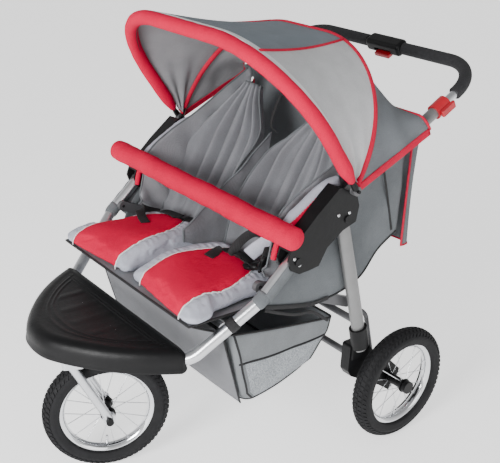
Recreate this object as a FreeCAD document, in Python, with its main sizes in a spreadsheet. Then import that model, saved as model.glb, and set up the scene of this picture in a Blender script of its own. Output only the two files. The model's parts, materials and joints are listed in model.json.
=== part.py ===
"""Side-by-side double jogging stroller: three spoked wheels, folding tube frame, two seats, one canopy.

The frame is modelled in millimetres with +Z up, +X to the rider's left and -Y forward.
The origin is on the ground, half way along the stroller. Places along the stroller are
given from the rear axle, so at() adds the axle's own place.
"""
import math
import os

import FreeCAD
import Part
import Sketcher

os.makedirs("parts", exist_ok=True)
V = FreeCAD.Vector
doc = FreeCAD.newDocument("stroller")

DRIVING_DIMENSIONS = {
    "axle_place": 319.7,      # rear axle from the middle of the stroller
    "axle_height": 155,       # also the wheel's outer radius
    "tyre_thick": 27,         # radius of the tyre's round section
    "rim_outer": 112,
    "rim_inner": 102,
    "rim_wide": 24,
    "hub_round": 13,
    "flange_round": 19,
    "flange_wide": 3,
    "hub_wide": 56,
    "spoke_count": 18,
    "spoke_round": 1.1,
    "axle_round": 5,
    "track_half": 346,        # rear wheel's centre plane from the middle
    "frame_half": 320,        # plane that holds the side tubes
    "tube_round": 14,
    "tube_wall": 2,
    "inner_round": 10,        # telescoping handlebar tube
    "leg_deep": 18,
    "leg_thin": 14,
    "crossbar_round": 9,
    "handle_tilt": 30,        # degrees above the ground
    "handle_reach": 482,      # from the bracket to the handle's corner
    "handle_corner": 100,
    "grip_round": 16,
    "plate_wide": 40,         # side bracket over both cheeks
    "cheek_thick": 4.5,
    "bumper_round": 28,
    "bumper_half": 377,
    "cushion_thick": 50,
    "back_thick": 28,
    "back_tilt": 61.6,        # degrees above the ground
    "caster_yaw": -22,        # how far the front wheel stands swivelled
    "caster_trail": 80,
    "basket_half": 280,
    "panel_thin": 3,
    "canopy_half": 351,
    "padding_round": 17.5,
    "footrest_tall": 52,
    "housing_wide": 29,       # axle housing across the stroller
    "deck_thick": 10,
    "running_gap": 0.05,
    "seat_gap": 0.25,         # between pieces that only lie against each other
}

sheet = doc.addObject("Spreadsheet::Sheet", "dims")
sheet.Label = "dims"
for row, (alias, value) in enumerate(DRIVING_DIMENSIONS.items(), start=1):
    sheet.set(f"A{row}", alias)
    sheet.set(f"B{row}", str(value))
    sheet.setAlias(f"B{row}", alias)
doc.recompute()


def size(alias):
    """A driving dimension, read from the sheet."""
    return float(sheet.get(alias))


AXLE_Y = size("axle_place")
AXLE_Z = size("axle_height")
SIDE_X = size("frame_half")
TUBE = size("tube_round")
GAP = size("seat_gap")
RUN = size("running_gap")
LEFT, RIGHT = 1, -1
SIDES = {"left": LEFT, "right": RIGHT}


def at(x, y, z):
    """A point given by its place across, along from the rear axle, and above the ground."""
    return V(x, AXLE_Y + y, z)


# Pivots of the folding frame and the points its tubes pass through (y from the rear axle, z).
FOLD_PIVOT = (-382, 591)
LEG_PIVOT = (-240, 664)
LINK_FRONT = (-452, 530)
LINK_REAR = (-168, 415)
HANDLE_FOOT = (-220, 722)
CANOPY_PIVOT = (-232, 733)
RECLINE_PIVOT = (-342, 492)
CASTER_Y = -765
PIN_ROUND = 5
SMALL_PIN_ROUND = 4
nodes = []


def keep(thing, label):
    """Name a finished sub-part and put it on the list of files to write."""
    thing.Label = label
    nodes.append(thing)
    return thing


def feature(label, shape, place=None):
    """A sub-part whose shape is worked out directly."""
    thing = doc.addObject("Part::Feature", label)
    thing.Shape = shape
    if place:
        thing.Placement = place
    return keep(thing, label)


def primitive(kind, name, sizes, place=None):
    """A Part primitive with its sizes bound to the sheet."""
    thing = doc.addObject(kind, name)
    for prop, formula in sizes.items():
        thing.setExpression(prop, formula)
    if place:
        thing.Placement = place
    return thing


# ---------------------------------------------------------------- shape helpers
def along_x(x0, x1, y, z, radius):
    """A round bar or pin that lies across the stroller."""
    low = min(x0, x1)
    return Part.makeCylinder(radius, abs(x1 - x0), at(low, y, z), V(1, 0, 0))


def rounded_path(points, bend):
    """Straight runs joined by tangent arcs at every inner point."""
    edges = []
    start = points[0]
    for before, corner, after in zip(points, points[1:], points[2:]):
        into = (corner - before).normalize()
        out = (after - corner).normalize()
        turn = into.getAngle(out)
        reach = bend * math.tan(turn / 2)
        entry = corner - into * reach
        leave = corner + out * reach
        inward = (out - into).normalize()
        middle = corner + inward * (bend / math.cos(turn / 2) - bend)
        edges.append(Part.makeLine(start, entry))
        edges.append(Part.Arc(entry, middle, leave).toShape())
        start = leave
    edges.append(Part.makeLine(start, points[-1]))
    return Part.Wire(edges)


def bar(points, radius, bend=60, wall=None):
    """A round bar or tube along a path of straight runs and bends."""
    path = rounded_path(points, bend)

    def swept(r):
        ring = Part.Wire(Part.makeCircle(r, points[0], points[1] - points[0]))
        return path.makePipeShell([ring], True, True)

    solid = swept(radius)
    if wall:
        solid = solid.cut(swept(radius - wall))
    return solid


def oval_bar(points, deep, thin, bend, wall=None):
    """An oval tube in a plane across X, deep in that plane and thin along X."""
    path = rounded_path(points, bend)
    run = (points[1] - points[0]).normalize()
    normal = V(1, 0, 0).cross(run)

    def swept(a, b):
        section = Part.Ellipse(points[0] + normal * a, points[0] + V(b, 0, 0), points[0])
        return path.makePipeShell([Part.Wire(section.toShape())], True, True)

    solid = swept(deep, thin)
    if wall:
        solid = solid.cut(swept(deep - wall, thin - wall))
    return solid


def prism(outline, x0, x1):
    """A flat piece from an outline of (y, z) points, standing across X."""
    low = min(x0, x1)
    points = [at(low, y, z) for y, z in outline]
    face = Part.Face(Part.makePolygon(points + points[:1]))
    return face.extrude(V(abs(x1 - x0), 0, 0))


def on_handle(along, x=0.0, across=0.0):
    """A point measured along the handle's line from the bracket, and square to it."""
    tilt = math.radians(size("handle_tilt"))
    y = HANDLE_FOOT[0] + along * math.cos(tilt) - across * math.sin(tilt)
    z = HANDLE_FOOT[1] + along * math.sin(tilt) + across * math.cos(tilt)
    return at(x, y, z)


def mirrored(shape, side):
    """The shape itself on the left, its mirror image on the right."""
    return shape if side == LEFT else shape.mirror(V(0, 0, 0), V(1, 0, 0))


def both_sides(shape):
    """Two separate solids, one on each side."""
    return Part.makeCompound([shape, mirrored(shape, RIGHT)])


def outline_sketch(body, name, role, outline):
    """A closed outline of straight lines on one of the body's own origin planes."""
    sketch = body.newObject("Sketcher::SketchObject", name)
    plane = next(f for f in body.Origin.OriginFeatures if f.Role == role)
    sketch.AttachmentSupport = [(plane, "")]
    sketch.MapMode = "FlatFace"
    count = len(outline)
    for index in range(count):
        first = V(*outline[index], 0)
        second = V(*outline[(index + 1) % count], 0)
        sketch.addGeometry(Part.LineSegment(first, second), False)
    for index in range(count):
        sketch.addConstraint(Sketcher.Constraint("Coincident", index, 2, (index + 1) % count, 1))
    return sketch


def padded_body(label, role, outline, thickness, place):
    """A PartDesign body: one outline padded by a driving dimension."""
    body = doc.addObject("PartDesign::Body", label)
    sketch = outline_sketch(body, label + "_outline", role, outline)
    pad = body.newObject("PartDesign::Pad", label + "_pad")
    pad.Profile = sketch
    pad.setExpression("Length", thickness)
    sketch.Visibility = False
    body.Placement = place
    return body


def rounded_edges(body, radius, chosen):
    """Round the edges of the body's last feature that the test picks out."""
    doc.recompute()
    tip = body.Tip
    names = [f"Edge{i}" for i, edge in enumerate(tip.Shape.Edges, start=1) if chosen(edge)]
    fillet = body.newObject("PartDesign::Fillet", body.Name + "_round")
    fillet.Base = (tip, names)
    fillet.Radius = radius
    return fillet


# ---------------------------------------------------------------- wheels
HUB_CAP_ROUND, HUB_CAP_DEEP, HUB_CAP_WALL = 17, 12, 3
SPOKE_LEAN = 18           # degrees between a spoke's root and its tip, seen along the axle
SPOKE_ROOT_INSET = 2.5    # from the flange's inner face to the spoke's root
VALVE_ROUND, VALVE_LONG = 3, 22


def wheel(prefix, centre, yaw, cap_side):
    """Tyre, rim, spokes and hub about an axis along X, then turned by yaw about Z."""
    turn = FreeCAD.Rotation(V(0, 0, 1), yaw)
    upright = turn.multiply(FreeCAD.Rotation(V(0, 1, 0), 90))
    place = FreeCAD.Placement(centre, upright)

    def across(low):
        return FreeCAD.Placement(centre + turn.multVec(V(low, 0, 0)), upright)

    ring = primitive("Part::Torus", prefix + "_ring", {
        "Radius1": "dims.axle_height - dims.tyre_thick",
        "Radius2": "dims.tyre_thick"}, place)
    seat = primitive("Part::Cylinder", prefix + "_seat", {
        "Radius": "dims.rim_outer + dims.seat_gap",
        "Height": "2 * dims.tyre_thick"}, across(-size("tyre_thick")))
    tyre = doc.addObject("Part::Cut", prefix + "_tyre")
    tyre.Base, tyre.Tool = ring, seat
    keep(tyre, prefix + "_tyre")

    band_place = across(-size("rim_wide") / 2)
    outer = primitive("Part::Cylinder", prefix + "_band", {
        "Radius": "dims.rim_outer", "Height": "dims.rim_wide"}, band_place)
    inner = primitive("Part::Cylinder", prefix + "_well", {
        "Radius": "dims.rim_inner", "Height": "dims.rim_wide"}, band_place)
    rim = doc.addObject("Part::Cut", prefix + "_rim")
    rim.Base, rim.Tool = outer, inner
    keep(rim, prefix + "_rim")

    half = size("hub_wide") / 2
    flange = size("flange_wide")
    flange_x = half - 2 * flange
    shell = Part.makeCylinder(size("hub_round"), 2 * half, V(-half, 0, 0), V(1, 0, 0))
    for low in (-flange_x - flange, flange_x):
        shell = shell.fuse(Part.makeCylinder(size("flange_round"), flange, V(low, 0, 0), V(1, 0, 0)))
    bore = size("axle_round") + RUN
    if cap_side:
        low = half if cap_side > 0 else -half - HUB_CAP_DEEP
        shell = shell.fuse(Part.makeCylinder(HUB_CAP_ROUND, HUB_CAP_DEEP, V(low, 0, 0), V(1, 0, 0)))
        blind = 2 * half + HUB_CAP_DEEP - HUB_CAP_WALL
        shell = shell.cut(Part.makeCylinder(bore, blind, V(-half * cap_side, 0, 0), V(cap_side, 0, 0)))
    else:
        shell = shell.cut(Part.makeCylinder(bore, 2 * half, V(-half, 0, 0), V(1, 0, 0)))
    hub_place = FreeCAD.Placement(centre, turn)
    feature(prefix + "_hub", shell.removeSplitter(), hub_place)

    count = int(size("spoke_count"))
    spokes = []
    for number in range(count):
        side = 1 if number % 2 else -1
        lean = math.radians(SPOKE_LEAN * (1 if number % 4 < 2 else -1))
        angle = 2 * math.pi * number / count
        root_r = size("hub_round") + GAP
        tip_r = size("rim_inner") - GAP
        root_x = side * (flange_x - SPOKE_ROOT_INSET)
        root = V(root_x, root_r * math.cos(angle + lean), root_r * math.sin(angle + lean))
        tip = V(side * 2, tip_r * math.cos(angle), tip_r * math.sin(angle))
        run = (tip - root).normalize()
        spokes.append(bar([root + run * 3, tip - run * 1.5], size("spoke_round")))
    valve_top = -size("rim_inner") + VALVE_LONG + 1 + GAP
    valve = Part.makeCylinder(VALVE_ROUND, VALVE_LONG, V(0, 0, valve_top), V(0, 0, -1))
    feature(prefix + "_spokes", Part.makeCompound(spokes + [valve]), hub_place)


for name, side in SIDES.items():
    wheel(f"rear_{name}", at(side * size("track_half"), 0, AXLE_Z), 0, side)

# ---------------------------------------------------------------- caster fork and front wheel
yaw = FreeCAD.Rotation(V(0, 0, 1), size("caster_yaw"))
caster_place = FreeCAD.Placement(at(0, CASTER_Y, 0), yaw)
trail = size("caster_trail")
wheel("front", caster_place.multVec(V(0, trail, AXLE_Z)), size("caster_yaw"), 0)

FORK_HALF = 43            # fork leg from the wheel's centre plane
LEG_ROUND = 11
CROWN_LOW, CROWN_TOP = 306, 328
CROWN_BORDER, CROWN_DEEP = 12, 50
STEERER_TOP = 396
STEERER_ROUND = 10
DROPOUT_ROUND, DROPOUT_WIDE = 15, 14
FRONT_AXLE_HALF = 58
NUT_ROUND, NUT_DEEP, NUT_GRIP = 9, 10, 4
crown = Part.makeBox(2 * (FORK_HALF + CROWN_BORDER), CROWN_DEEP, CROWN_TOP - CROWN_LOW,
                     V(-FORK_HALF - CROWN_BORDER, -26, CROWN_LOW))
crown = crown.makeFillet(8, [e for e in crown.Edges if abs(e.tangentAt(0).z) > 0.9])
fork = crown.fuse(Part.makeCylinder(STEERER_ROUND, STEERER_TOP - CROWN_TOP + 4, V(0, 0, CROWN_TOP - 4)))
for side in (LEFT, RIGHT):
    top = V(side * FORK_HALF, -6, CROWN_LOW + 6)
    foot = V(side * FORK_HALF, trail, AXLE_Z)
    fork = fork.fuse(bar([top, foot], LEG_ROUND))
    dropout_start = foot - V(DROPOUT_WIDE / 2, 0, 0)
    fork = fork.fuse(Part.makeCylinder(DROPOUT_ROUND, DROPOUT_WIDE, dropout_start, V(1, 0, 0)))
hole_half = FORK_HALF + DROPOUT_WIDE
hole_start = V(-hole_half, trail, AXLE_Z)
axle_hole = Part.makeCylinder(size("axle_round") + GAP, 2 * hole_half, hole_start, V(1, 0, 0))
feature("front_fork", fork.cut(axle_hole).removeSplitter(), caster_place)

axle_start = V(-FRONT_AXLE_HALF, trail, AXLE_Z)
front_axle = Part.makeCylinder(size("axle_round"), 2 * FRONT_AXLE_HALF, axle_start, V(1, 0, 0))
nuts = []
for low in (NUT_GRIP - FRONT_AXLE_HALF - NUT_DEEP, FRONT_AXLE_HALF - NUT_GRIP + GAP):
    nut = Part.makeCylinder(NUT_ROUND, NUT_DEEP - GAP, V(low, trail, AXLE_Z), V(1, 0, 0))
    nuts.append(nut.cut(front_axle))
feature("front_axle", Part.makeCompound([front_axle]), caster_place)
feature("front_axle_caps", Part.makeCompound(nuts), caster_place)

# ---------------------------------------------------------------- front frame
HEAD_ROUND = 24
HEAD_LOW = CROWN_TOP + 2
head = Part.makeCylinder(HEAD_ROUND, STEERER_TOP + 2 - HEAD_LOW, at(0, CASTER_Y, HEAD_LOW))
head_tool = Part.makeCylinder(HEAD_ROUND + GAP, 100, at(0, CASTER_Y, HEAD_LOW - 10))
head = head.cut(Part.makeCylinder(STEERER_ROUND + RUN, 100, at(0, CASTER_Y, HEAD_LOW)))
feature("caster_head", head)

TUBE_TOP = (FOLD_PIVOT[0] + 8, FOLD_PIVOT[1] + 9)
front_path = [
    at(SIDE_X, *TUBE_TOP),
    at(SIDE_X, -470, 508),
    at(264, -612, 379),
    at(150, -706, 369),
    at(26, -765, 369),
]
FRONT_BEND = 70
COLLAR_WALL = 3.5
CROSS_Y, CROSS_Z = -535, 449
front_outer = bar(front_path, TUBE + COLLAR_WALL + GAP, FRONT_BEND)
for name, side in SIDES.items():
    tube = bar(front_path, TUBE, FRONT_BEND, size("tube_wall"))
    tube = tube.cut(head_tool)
    tube = tube.cut(along_x(SIDE_X - 40, SIDE_X + 40, *FOLD_PIVOT, PIN_ROUND + RUN))
    tube = tube.cut(along_x(SIDE_X - 40, SIDE_X - 4, *LINK_FRONT, SMALL_PIN_ROUND + GAP))
    feature(f"front_tube_{name}", mirrored(tube, side))

crossbar = along_x(-300, 300, CROSS_Y, CROSS_Z, size("crossbar_round"))
for side in (LEFT, RIGHT):
    crossbar = crossbar.cut(mirrored(front_outer, side))
crossbar = max(crossbar.Solids, key=lambda solid: solid.Volume)
feature("front_crossbar", crossbar)


def collar(start, finish, radius, hole):
    """A short sleeve between two points of a tube."""
    run = finish - start
    sleeve = Part.makeCylinder(radius, run.Length, start, run)
    return sleeve.cut(Part.makeCylinder(hole, run.Length, start, run))


# Each collar's ends: the number of the straight run it sits on, and the share of that run.
COLLAR_ENDS = (0.60, 0.85), (1.36, 1.58)
collars = []
for low, high in COLLAR_ENDS:
    ends = []
    for share in (low, high):
        index = int(share)
        ends.append(front_path[index] + (front_path[index + 1] - front_path[index]) * (share - index))
    collars.append(collar(*ends, TUBE + COLLAR_WALL, TUBE + GAP))
clear_link = along_x(SIDE_X - 60, SIDE_X - 8, *LINK_FRONT, 16)
collars[0] = collars[0].cut(clear_link)
feature("tube_collars", Part.makeCompound(collars + [mirrored(c, RIGHT) for c in collars]))

LINK_THICK = 12
LINK_OUT = SIDE_X - 22
link_pin = along_x(LINK_OUT - LINK_THICK, SIDE_X - 10, *LINK_FRONT, SMALL_PIN_ROUND)
feature("link_pins", both_sides(link_pin))

# The footrest is a moulded cover with a rounded nose over the ends of the front tubes.
FOOT_LOW = 356
FOOT_WALL, FOOT_EDGE = 4, 12
foot_tall = size("footrest_tall")


def footrest_outline(inset):
    """Straight rear edge, convex sides and a round nose, as a face that is smaller by the inset."""
    rear = V(270 - inset, -612 - inset, 0)
    shoulder = V(270 - inset, -636, 0)
    side_mid = V(190 - inset * 0.8, -748 + inset * 0.6, 0)
    side_end = V(64 - inset * 0.4, -846 + inset, 0)
    nose = V(0, -860 + inset, 0)
    outline = [rear, shoulder, side_mid, side_end, nose]
    outline += [V(-point.x, point.y, 0) for point in (side_end, side_mid, shoulder, rear)]
    outline = [at(point.x, point.y, 0) for point in outline]
    wire = [Part.makeLine(outline[0], outline[1]), Part.makeLine(outline[7], outline[8])]
    for first in (1, 3, 5):
        wire.append(Part.Arc(*outline[first:first + 3]).toShape())
    wire.append(Part.makeLine(outline[8], outline[0]))
    return Part.Face(Part.Wire(Part.__sortEdges__(wire)))


cover = footrest_outline(0).extrude(V(0, 0, foot_tall))
cover.translate(V(0, 0, FOOT_LOW))
rim_edges = [e for e in cover.Edges if e.BoundBox.ZMin > FOOT_LOW + foot_tall - 0.01]
cover = cover.makeFillet(FOOT_EDGE, rim_edges)
hollow = footrest_outline(FOOT_WALL).extrude(V(0, 0, foot_tall - FOOT_WALL))
hollow.translate(V(0, 0, FOOT_LOW))
hollow_rim = [e for e in hollow.Edges if e.BoundBox.ZMin > FOOT_LOW + foot_tall - FOOT_WALL - 0.01]
cover = cover.cut(hollow.makeFillet(FOOT_EDGE - 3, hollow_rim))
for side in (LEFT, RIGHT):
    cover = cover.cut(mirrored(bar(front_path, TUBE + 1, FRONT_BEND), side))
cover = max(cover.Solids, key=lambda solid: solid.Volume)
feature("footrest_cover", cover)

LOCK_Y = CASTER_Y - 36
lock_pin = Part.makeCylinder(6, 22, at(0, LOCK_Y, 336))
lock_pin = lock_pin.fuse(Part.makeCylinder(10, 6, at(0, LOCK_Y, 344)))
feature("swivel_lock_pin", lock_pin.removeSplitter())

# ---------------------------------------------------------------- side brackets
BRACKET_OUTLINE = [
    (-272, 744), (-218, 722), (-206, 690), (-212, 652), (-252, 638), (-296, 606),
    (-318, 566), (-346, 562), (-376, 560), (-402, 574), (-411, 598), (-402, 626),
    (-334, 692),
]
BRACKET_SLOT = [
    (-304, 646), (-180, 722), (-150, 640), (-200, 500), (-440, 500), (-470, 590),
    (-399, 619), (-330, 686),
]
peg_run = V(0, -0.691, 0.723)
BUMPER_Y, BUMPER_Z = -420, 662
bumper_centre = at(SIDE_X, BUMPER_Y, BUMPER_Z)
HANDLE_RUN = (on_handle(1) - on_handle(0)).normalize()
HANDLE_TUBE_START, HANDLE_TUBE_END = -56, 318
handle_hole = Part.makeCylinder(TUBE + GAP, 400, on_handle(HANDLE_TUBE_START - 6, SIDE_X), HANDLE_RUN)

PLATE_HALF = size("plate_wide") / 2
for name, side in SIDES.items():
    low_x = side * SIDE_X - PLATE_HALF
    blank = padded_body(f"bracket_blank_{name}", "YZ_Plane", BRACKET_OUTLINE, "dims.plate_wide",
                        FreeCAD.Placement(V(low_x, AXLE_Y, 0), FreeCAD.Rotation()))
    doc.recompute()
    rounded_edges(blank, 3, lambda e: e.BoundBox.XLength > 20)
    doc.recompute()
    slot_half = PLATE_HALF - size("cheek_thick")
    slot = prism(BRACKET_SLOT, side * SIDE_X - slot_half, side * SIDE_X + slot_half)
    tools = [slot, mirrored(handle_hole, side)]
    for pivot in (FOLD_PIVOT, LEG_PIVOT):
        tools.append(along_x(side * (SIDE_X - 30), side * (SIDE_X + 30), *pivot, PIN_ROUND + GAP))
    pin_x = side * (SIDE_X + 10), side * (SIDE_X + 30)
    tools.append(along_x(*pin_x, *CANOPY_PIVOT, SMALL_PIN_ROUND + GAP))
    bracket = blank.Shape.copy()
    for tool in tools:
        bracket = bracket.cut(tool)
    bracket = max(bracket.Solids, key=lambda solid: solid.Volume)
    feature(f"side_bracket_{name}", bracket)
    lower, well = (Part.makeCylinder(radius, HANDLE_TUBE_END - HANDLE_TUBE_START,
                                     on_handle(HANDLE_TUBE_START, SIDE_X), HANDLE_RUN)
                   for radius in (TUBE, TUBE - size("tube_wall")))
    feature(f"handle_tube_{name}", mirrored(lower.cut(well), side))

HEAD_X = SIDE_X + PLATE_HALF + GAP
HEAD_THICK, HEAD_RADIUS = 3, 9
pins = []
for side in (LEFT, RIGHT):
    for pivot in (FOLD_PIVOT, LEG_PIVOT):
        pin = along_x(side * (SIDE_X - PLATE_HALF + 1), side * (HEAD_X + HEAD_THICK), *pivot, PIN_ROUND)
        pins.append(pin.fuse(along_x(side * HEAD_X, side * (HEAD_X + HEAD_THICK), *pivot, HEAD_RADIUS)))
    pins.append(along_x(side * (SIDE_X + 16), side * (SIDE_X + 42), *CANOPY_PIVOT, SMALL_PIN_ROUND))
feature("frame_pivot_pins", Part.makeCompound(pins))

# ---------------------------------------------------------------- telescoping handle
CLAMP_LOW, CLAMP_HIGH, CLAMP_ROUND = 298, 340, 19
clamp_start = on_handle(CLAMP_LOW, SIDE_X)
clamp = Part.makeCylinder(CLAMP_ROUND, CLAMP_HIGH - CLAMP_LOW, clamp_start, HANDLE_RUN)
tube_seat = HANDLE_TUBE_END + GAP - CLAMP_LOW
clamp = clamp.cut(Part.makeCylinder(TUBE + GAP, tube_seat, clamp_start, HANDLE_RUN))
clamp = clamp.cut(Part.makeCylinder(size("inner_round") + 2 * GAP, 100, clamp_start, HANDLE_RUN))
feature("height_clamps", both_sides(clamp))

# Each lever turns on a round knuckle at its lower end.
LEVER_START, LEVER_LONG, LEVER_WIDE, LEVER_THICK = 300, 46, 16, 9
KNUCKLE = LEVER_THICK / 2
for name, side in SIDES.items():
    first = on_handle(LEVER_START, SIDE_X + CLAMP_ROUND + 2 * GAP, -LEVER_WIDE / 2)
    lever = Part.makeBox(LEVER_THICK, LEVER_LONG - KNUCKLE, LEVER_WIDE, V(0, KNUCKLE, 0))
    tip_edges = [e for e in lever.Edges if e.BoundBox.YMin > LEVER_LONG - 1 and abs(e.tangentAt(0).z) > 0.9]
    lever = lever.makeFillet(4, tip_edges)
    lever = lever.fuse(Part.makeCylinder(KNUCKLE, LEVER_WIDE, V(KNUCKLE, KNUCKLE, 0)))
    lever.Placement = FreeCAD.Placement(first, FreeCAD.Rotation(V(1, 0, 0), size("handle_tilt")))
    feature(f"height_lever_{name}", mirrored(lever, side))

reach = size("handle_reach")
BAR_END = 200             # how far down inside the outer tubes the handlebar reaches
corner_left, corner_right = on_handle(reach, SIDE_X), on_handle(reach, -SIDE_X)
bar_path = [on_handle(BAR_END, SIDE_X), corner_left, corner_right, on_handle(BAR_END, -SIDE_X)]
feature("handlebar", bar(bar_path, size("inner_round"), size("handle_corner"), size("tube_wall")))
bar_tool = bar(bar_path, size("inner_round") + GAP, size("handle_corner"))
HOUSING_HALF = 62
grip_path = [on_handle(reach - size("handle_corner") - 6, SIDE_X), corner_left,
             on_handle(reach, HOUSING_HALF + 2)]
grip = bar(grip_path, size("grip_round"), size("handle_corner")).cut(bar_tool)
feature("foam_grips", both_sides(grip))

HOUSING_DEEP, HOUSING_TALL = 42, 36
housing = Part.makeBox(2 * HOUSING_HALF, HOUSING_DEEP, HOUSING_TALL,
                       V(-HOUSING_HALF, -HOUSING_DEEP / 2, -HOUSING_TALL / 2))
housing = housing.makeFillet(11, housing.Edges)
tilt_turn = FreeCAD.Rotation(V(1, 0, 0), size("handle_tilt"))
housing.Placement = FreeCAD.Placement(on_handle(reach, 0), tilt_turn)
TRIGGER_HALF, TRIGGER_PLAY = 26, 4
bay_half = TRIGGER_HALF + TRIGGER_PLAY
trigger_bay = Part.makeBox(2 * bay_half, 12, 29, V(-bay_half, -22, -30))
trigger_bay.Placement = housing.Placement
feature("handle_housing", housing.cut(bar_tool).cut(trigger_bay))
trigger = Part.makeBox(2 * TRIGGER_HALF, 18, 12, V(-TRIGGER_HALF, -29, -23))
trigger = trigger.makeFillet(3, trigger.Edges)
trigger.Placement = housing.Placement
feature("fold_trigger", trigger.cut(housing.cut(trigger_bay)))

# ---------------------------------------------------------------- rear legs, housings and axle
leg_top = at(SIDE_X, LEG_PIVOT[0] - 4, LEG_PIVOT[1] + 12)
leg_path = [leg_top, at(SIDE_X, -147, 352), at(SIDE_X, -127, 283)]
LEG_BEND = 120
leg_tool = oval_bar(leg_path, size("leg_deep") + GAP, size("leg_thin") + GAP, LEG_BEND)
HOUSING_IN = 285
HOUSING_OUT = HOUSING_IN + size("housing_wide")
HOUSING_OUTLINE = [
    (-158, 296), (-104, 296), (-58, 236), (0, 203), (40, 166), (32, 134), (6, 110),
    (-36, 140), (-100, 178), (-146, 204), (-158, 222),
]
for name, side in SIDES.items():
    leg = oval_bar(leg_path, size("leg_deep"), size("leg_thin"), LEG_BEND, size("tube_wall"))
    leg = leg.cut(along_x(SIDE_X - 40, SIDE_X + 40, *LEG_PIVOT, PIN_ROUND + RUN))
    feature(f"rear_leg_{name}", mirrored(leg, side))
    low_x = HOUSING_IN if side == LEFT else -HOUSING_OUT
    blank = padded_body(f"housing_blank_{name}", "YZ_Plane", HOUSING_OUTLINE, "dims.housing_wide",
                        FreeCAD.Placement(V(low_x, AXLE_Y, 0), FreeCAD.Rotation()))
    doc.recompute()
    rounded_edges(blank, 7, lambda e: e.BoundBox.XLength > 20)
    doc.recompute()
    sleeve = oval_bar([at(SIDE_X, -146, 349), at(SIDE_X, -131, 292)], 24, 21, 60)
    bridge = Part.makeBox(34, 46, 40, at(HOUSING_IN + 2, -154, 256))
    shape = blank.Shape.fuse(mirrored(sleeve, side)).fuse(mirrored(bridge, side))
    shape = shape.cut(mirrored(leg_tool, side))
    shape = shape.cut(along_x(-400, 400, 0, AXLE_Z, size("axle_round") + GAP))
    shape = max(shape.Solids, key=lambda solid: solid.Volume)
    feature(f"axle_housing_{name}", shape.removeSplitter())

AXLE_HALF = 382
feature("rear_axle", along_x(-AXLE_HALF, AXLE_HALF, 0, AXLE_Z, size("axle_round")))
UPPER_BAR, LOWER_BAR = (-152, 366), (-128, 250)
upper_bar = along_x(-SIDE_X, SIDE_X, *UPPER_BAR, size("crossbar_round"))
for side in (LEFT, RIGHT):
    upper_bar = upper_bar.cut(mirrored(leg_tool, side))
upper_bar = max(upper_bar.Solids, key=lambda solid: solid.Volume)
lower_bar = along_x(-HOUSING_IN + GAP, HOUSING_IN - GAP, *LOWER_BAR, size("crossbar_round"))
feature("rear_crossbars", Part.makeCompound([upper_bar, lower_bar]))

BRAKE_PIVOT = (-22, 190)
BRAKE_BOW = (-66, 342)
BRAKE_HALF, BRAKE_ROUND = 268, 6
brake_path = []
for side in (LEFT, RIGHT):
    leg_points = [at(side * (HOUSING_IN - 2 * GAP), *BRAKE_PIVOT), at(side * BRAKE_HALF, *BRAKE_PIVOT),
                  at(side * BRAKE_HALF, *BRAKE_BOW)]
    brake_path += leg_points if side == LEFT else leg_points[::-1]
feature("brake_bar", bar(brake_path, BRAKE_ROUND, 14))

# ---------------------------------------------------------------- side links
link_run = at(0, *LINK_REAR) - at(0, *LINK_FRONT)
link_turn = math.degrees(math.atan2(link_run.z, link_run.y))
LINK_HALF = 13
blade = Part.makeBox(LINK_THICK, link_run.Length, 2 * LINK_HALF, V(0, 0, -LINK_HALF))
for end in (0, link_run.Length):
    blade = blade.fuse(Part.makeCylinder(LINK_HALF, LINK_THICK, V(0, end, 0), V(1, 0, 0)))
blade = blade.cut(Part.makeCylinder(SMALL_PIN_ROUND + RUN, LINK_THICK, V(0, 0, 0), V(1, 0, 0)))
blade = blade.removeSplitter()
link_start = at(LINK_OUT - LINK_THICK, *LINK_FRONT)
blade.Placement = FreeCAD.Placement(link_start, FreeCAD.Rotation(V(1, 0, 0), link_turn))
for name, side in SIDES.items():
    feature(f"side_link_{name}", mirrored(blade, side))

# ---------------------------------------------------------------- seats
DECK_TOP = 475
deck_outline = [(-278, -628), (278, -628), (278, -330), (-278, -330)]
deck_place = FreeCAD.Placement(V(0, AXLE_Y, DECK_TOP - size("deck_thick")), FreeCAD.Rotation())
deck = padded_body("seat_deck", "XY_Plane", deck_outline, "dims.deck_thick", deck_place)
keep(deck, "seat_deck")
back_turn = FreeCAD.Rotation(V(1, 0, 0), size("back_tilt"))
back_foot = at(0, *RECLINE_PIVOT) + back_turn.multVec(V(0, 0, 4 - size("back_thick")))
# Outlines of the left-hand cushion (x, y) and back (x, distance up the back).
CUSHION_OUTLINE = [(18, -642), (292, -636), (288, -562), (274, -548), (264, -440), (262, -356), (18, -356)]
BACK_OUTLINE = [(22, 10), (262, 10), (272, 200), (262, 370), (215, 410), (75, 410), (28, 370)]
for name, side in SIDES.items():
    outline = [(side * x, y) for x, y in CUSHION_OUTLINE]
    cushion = padded_body(f"seat_cushion_{name}", "XY_Plane", outline, "dims.cushion_thick",
                          FreeCAD.Placement(V(0, AXLE_Y, DECK_TOP + 2 * GAP), FreeCAD.Rotation()))
    doc.recompute()
    rounded_edges(cushion, 12, lambda e: e.BoundBox.ZLength > 20)
    keep(cushion, f"seat_cushion_{name}")
    outline = [(side * x, up) for x, up in BACK_OUTLINE]
    back = padded_body(f"seat_back_{name}", "XY_Plane", outline, "dims.back_thick",
                       FreeCAD.Placement(back_foot, back_turn))
    doc.recompute()
    rounded_edges(back, 10, lambda e: abs(e.tangentAt(e.FirstParameter).z) > 0.9 and e.Length > 20)
    keep(back, f"seat_back_{name}")

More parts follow.
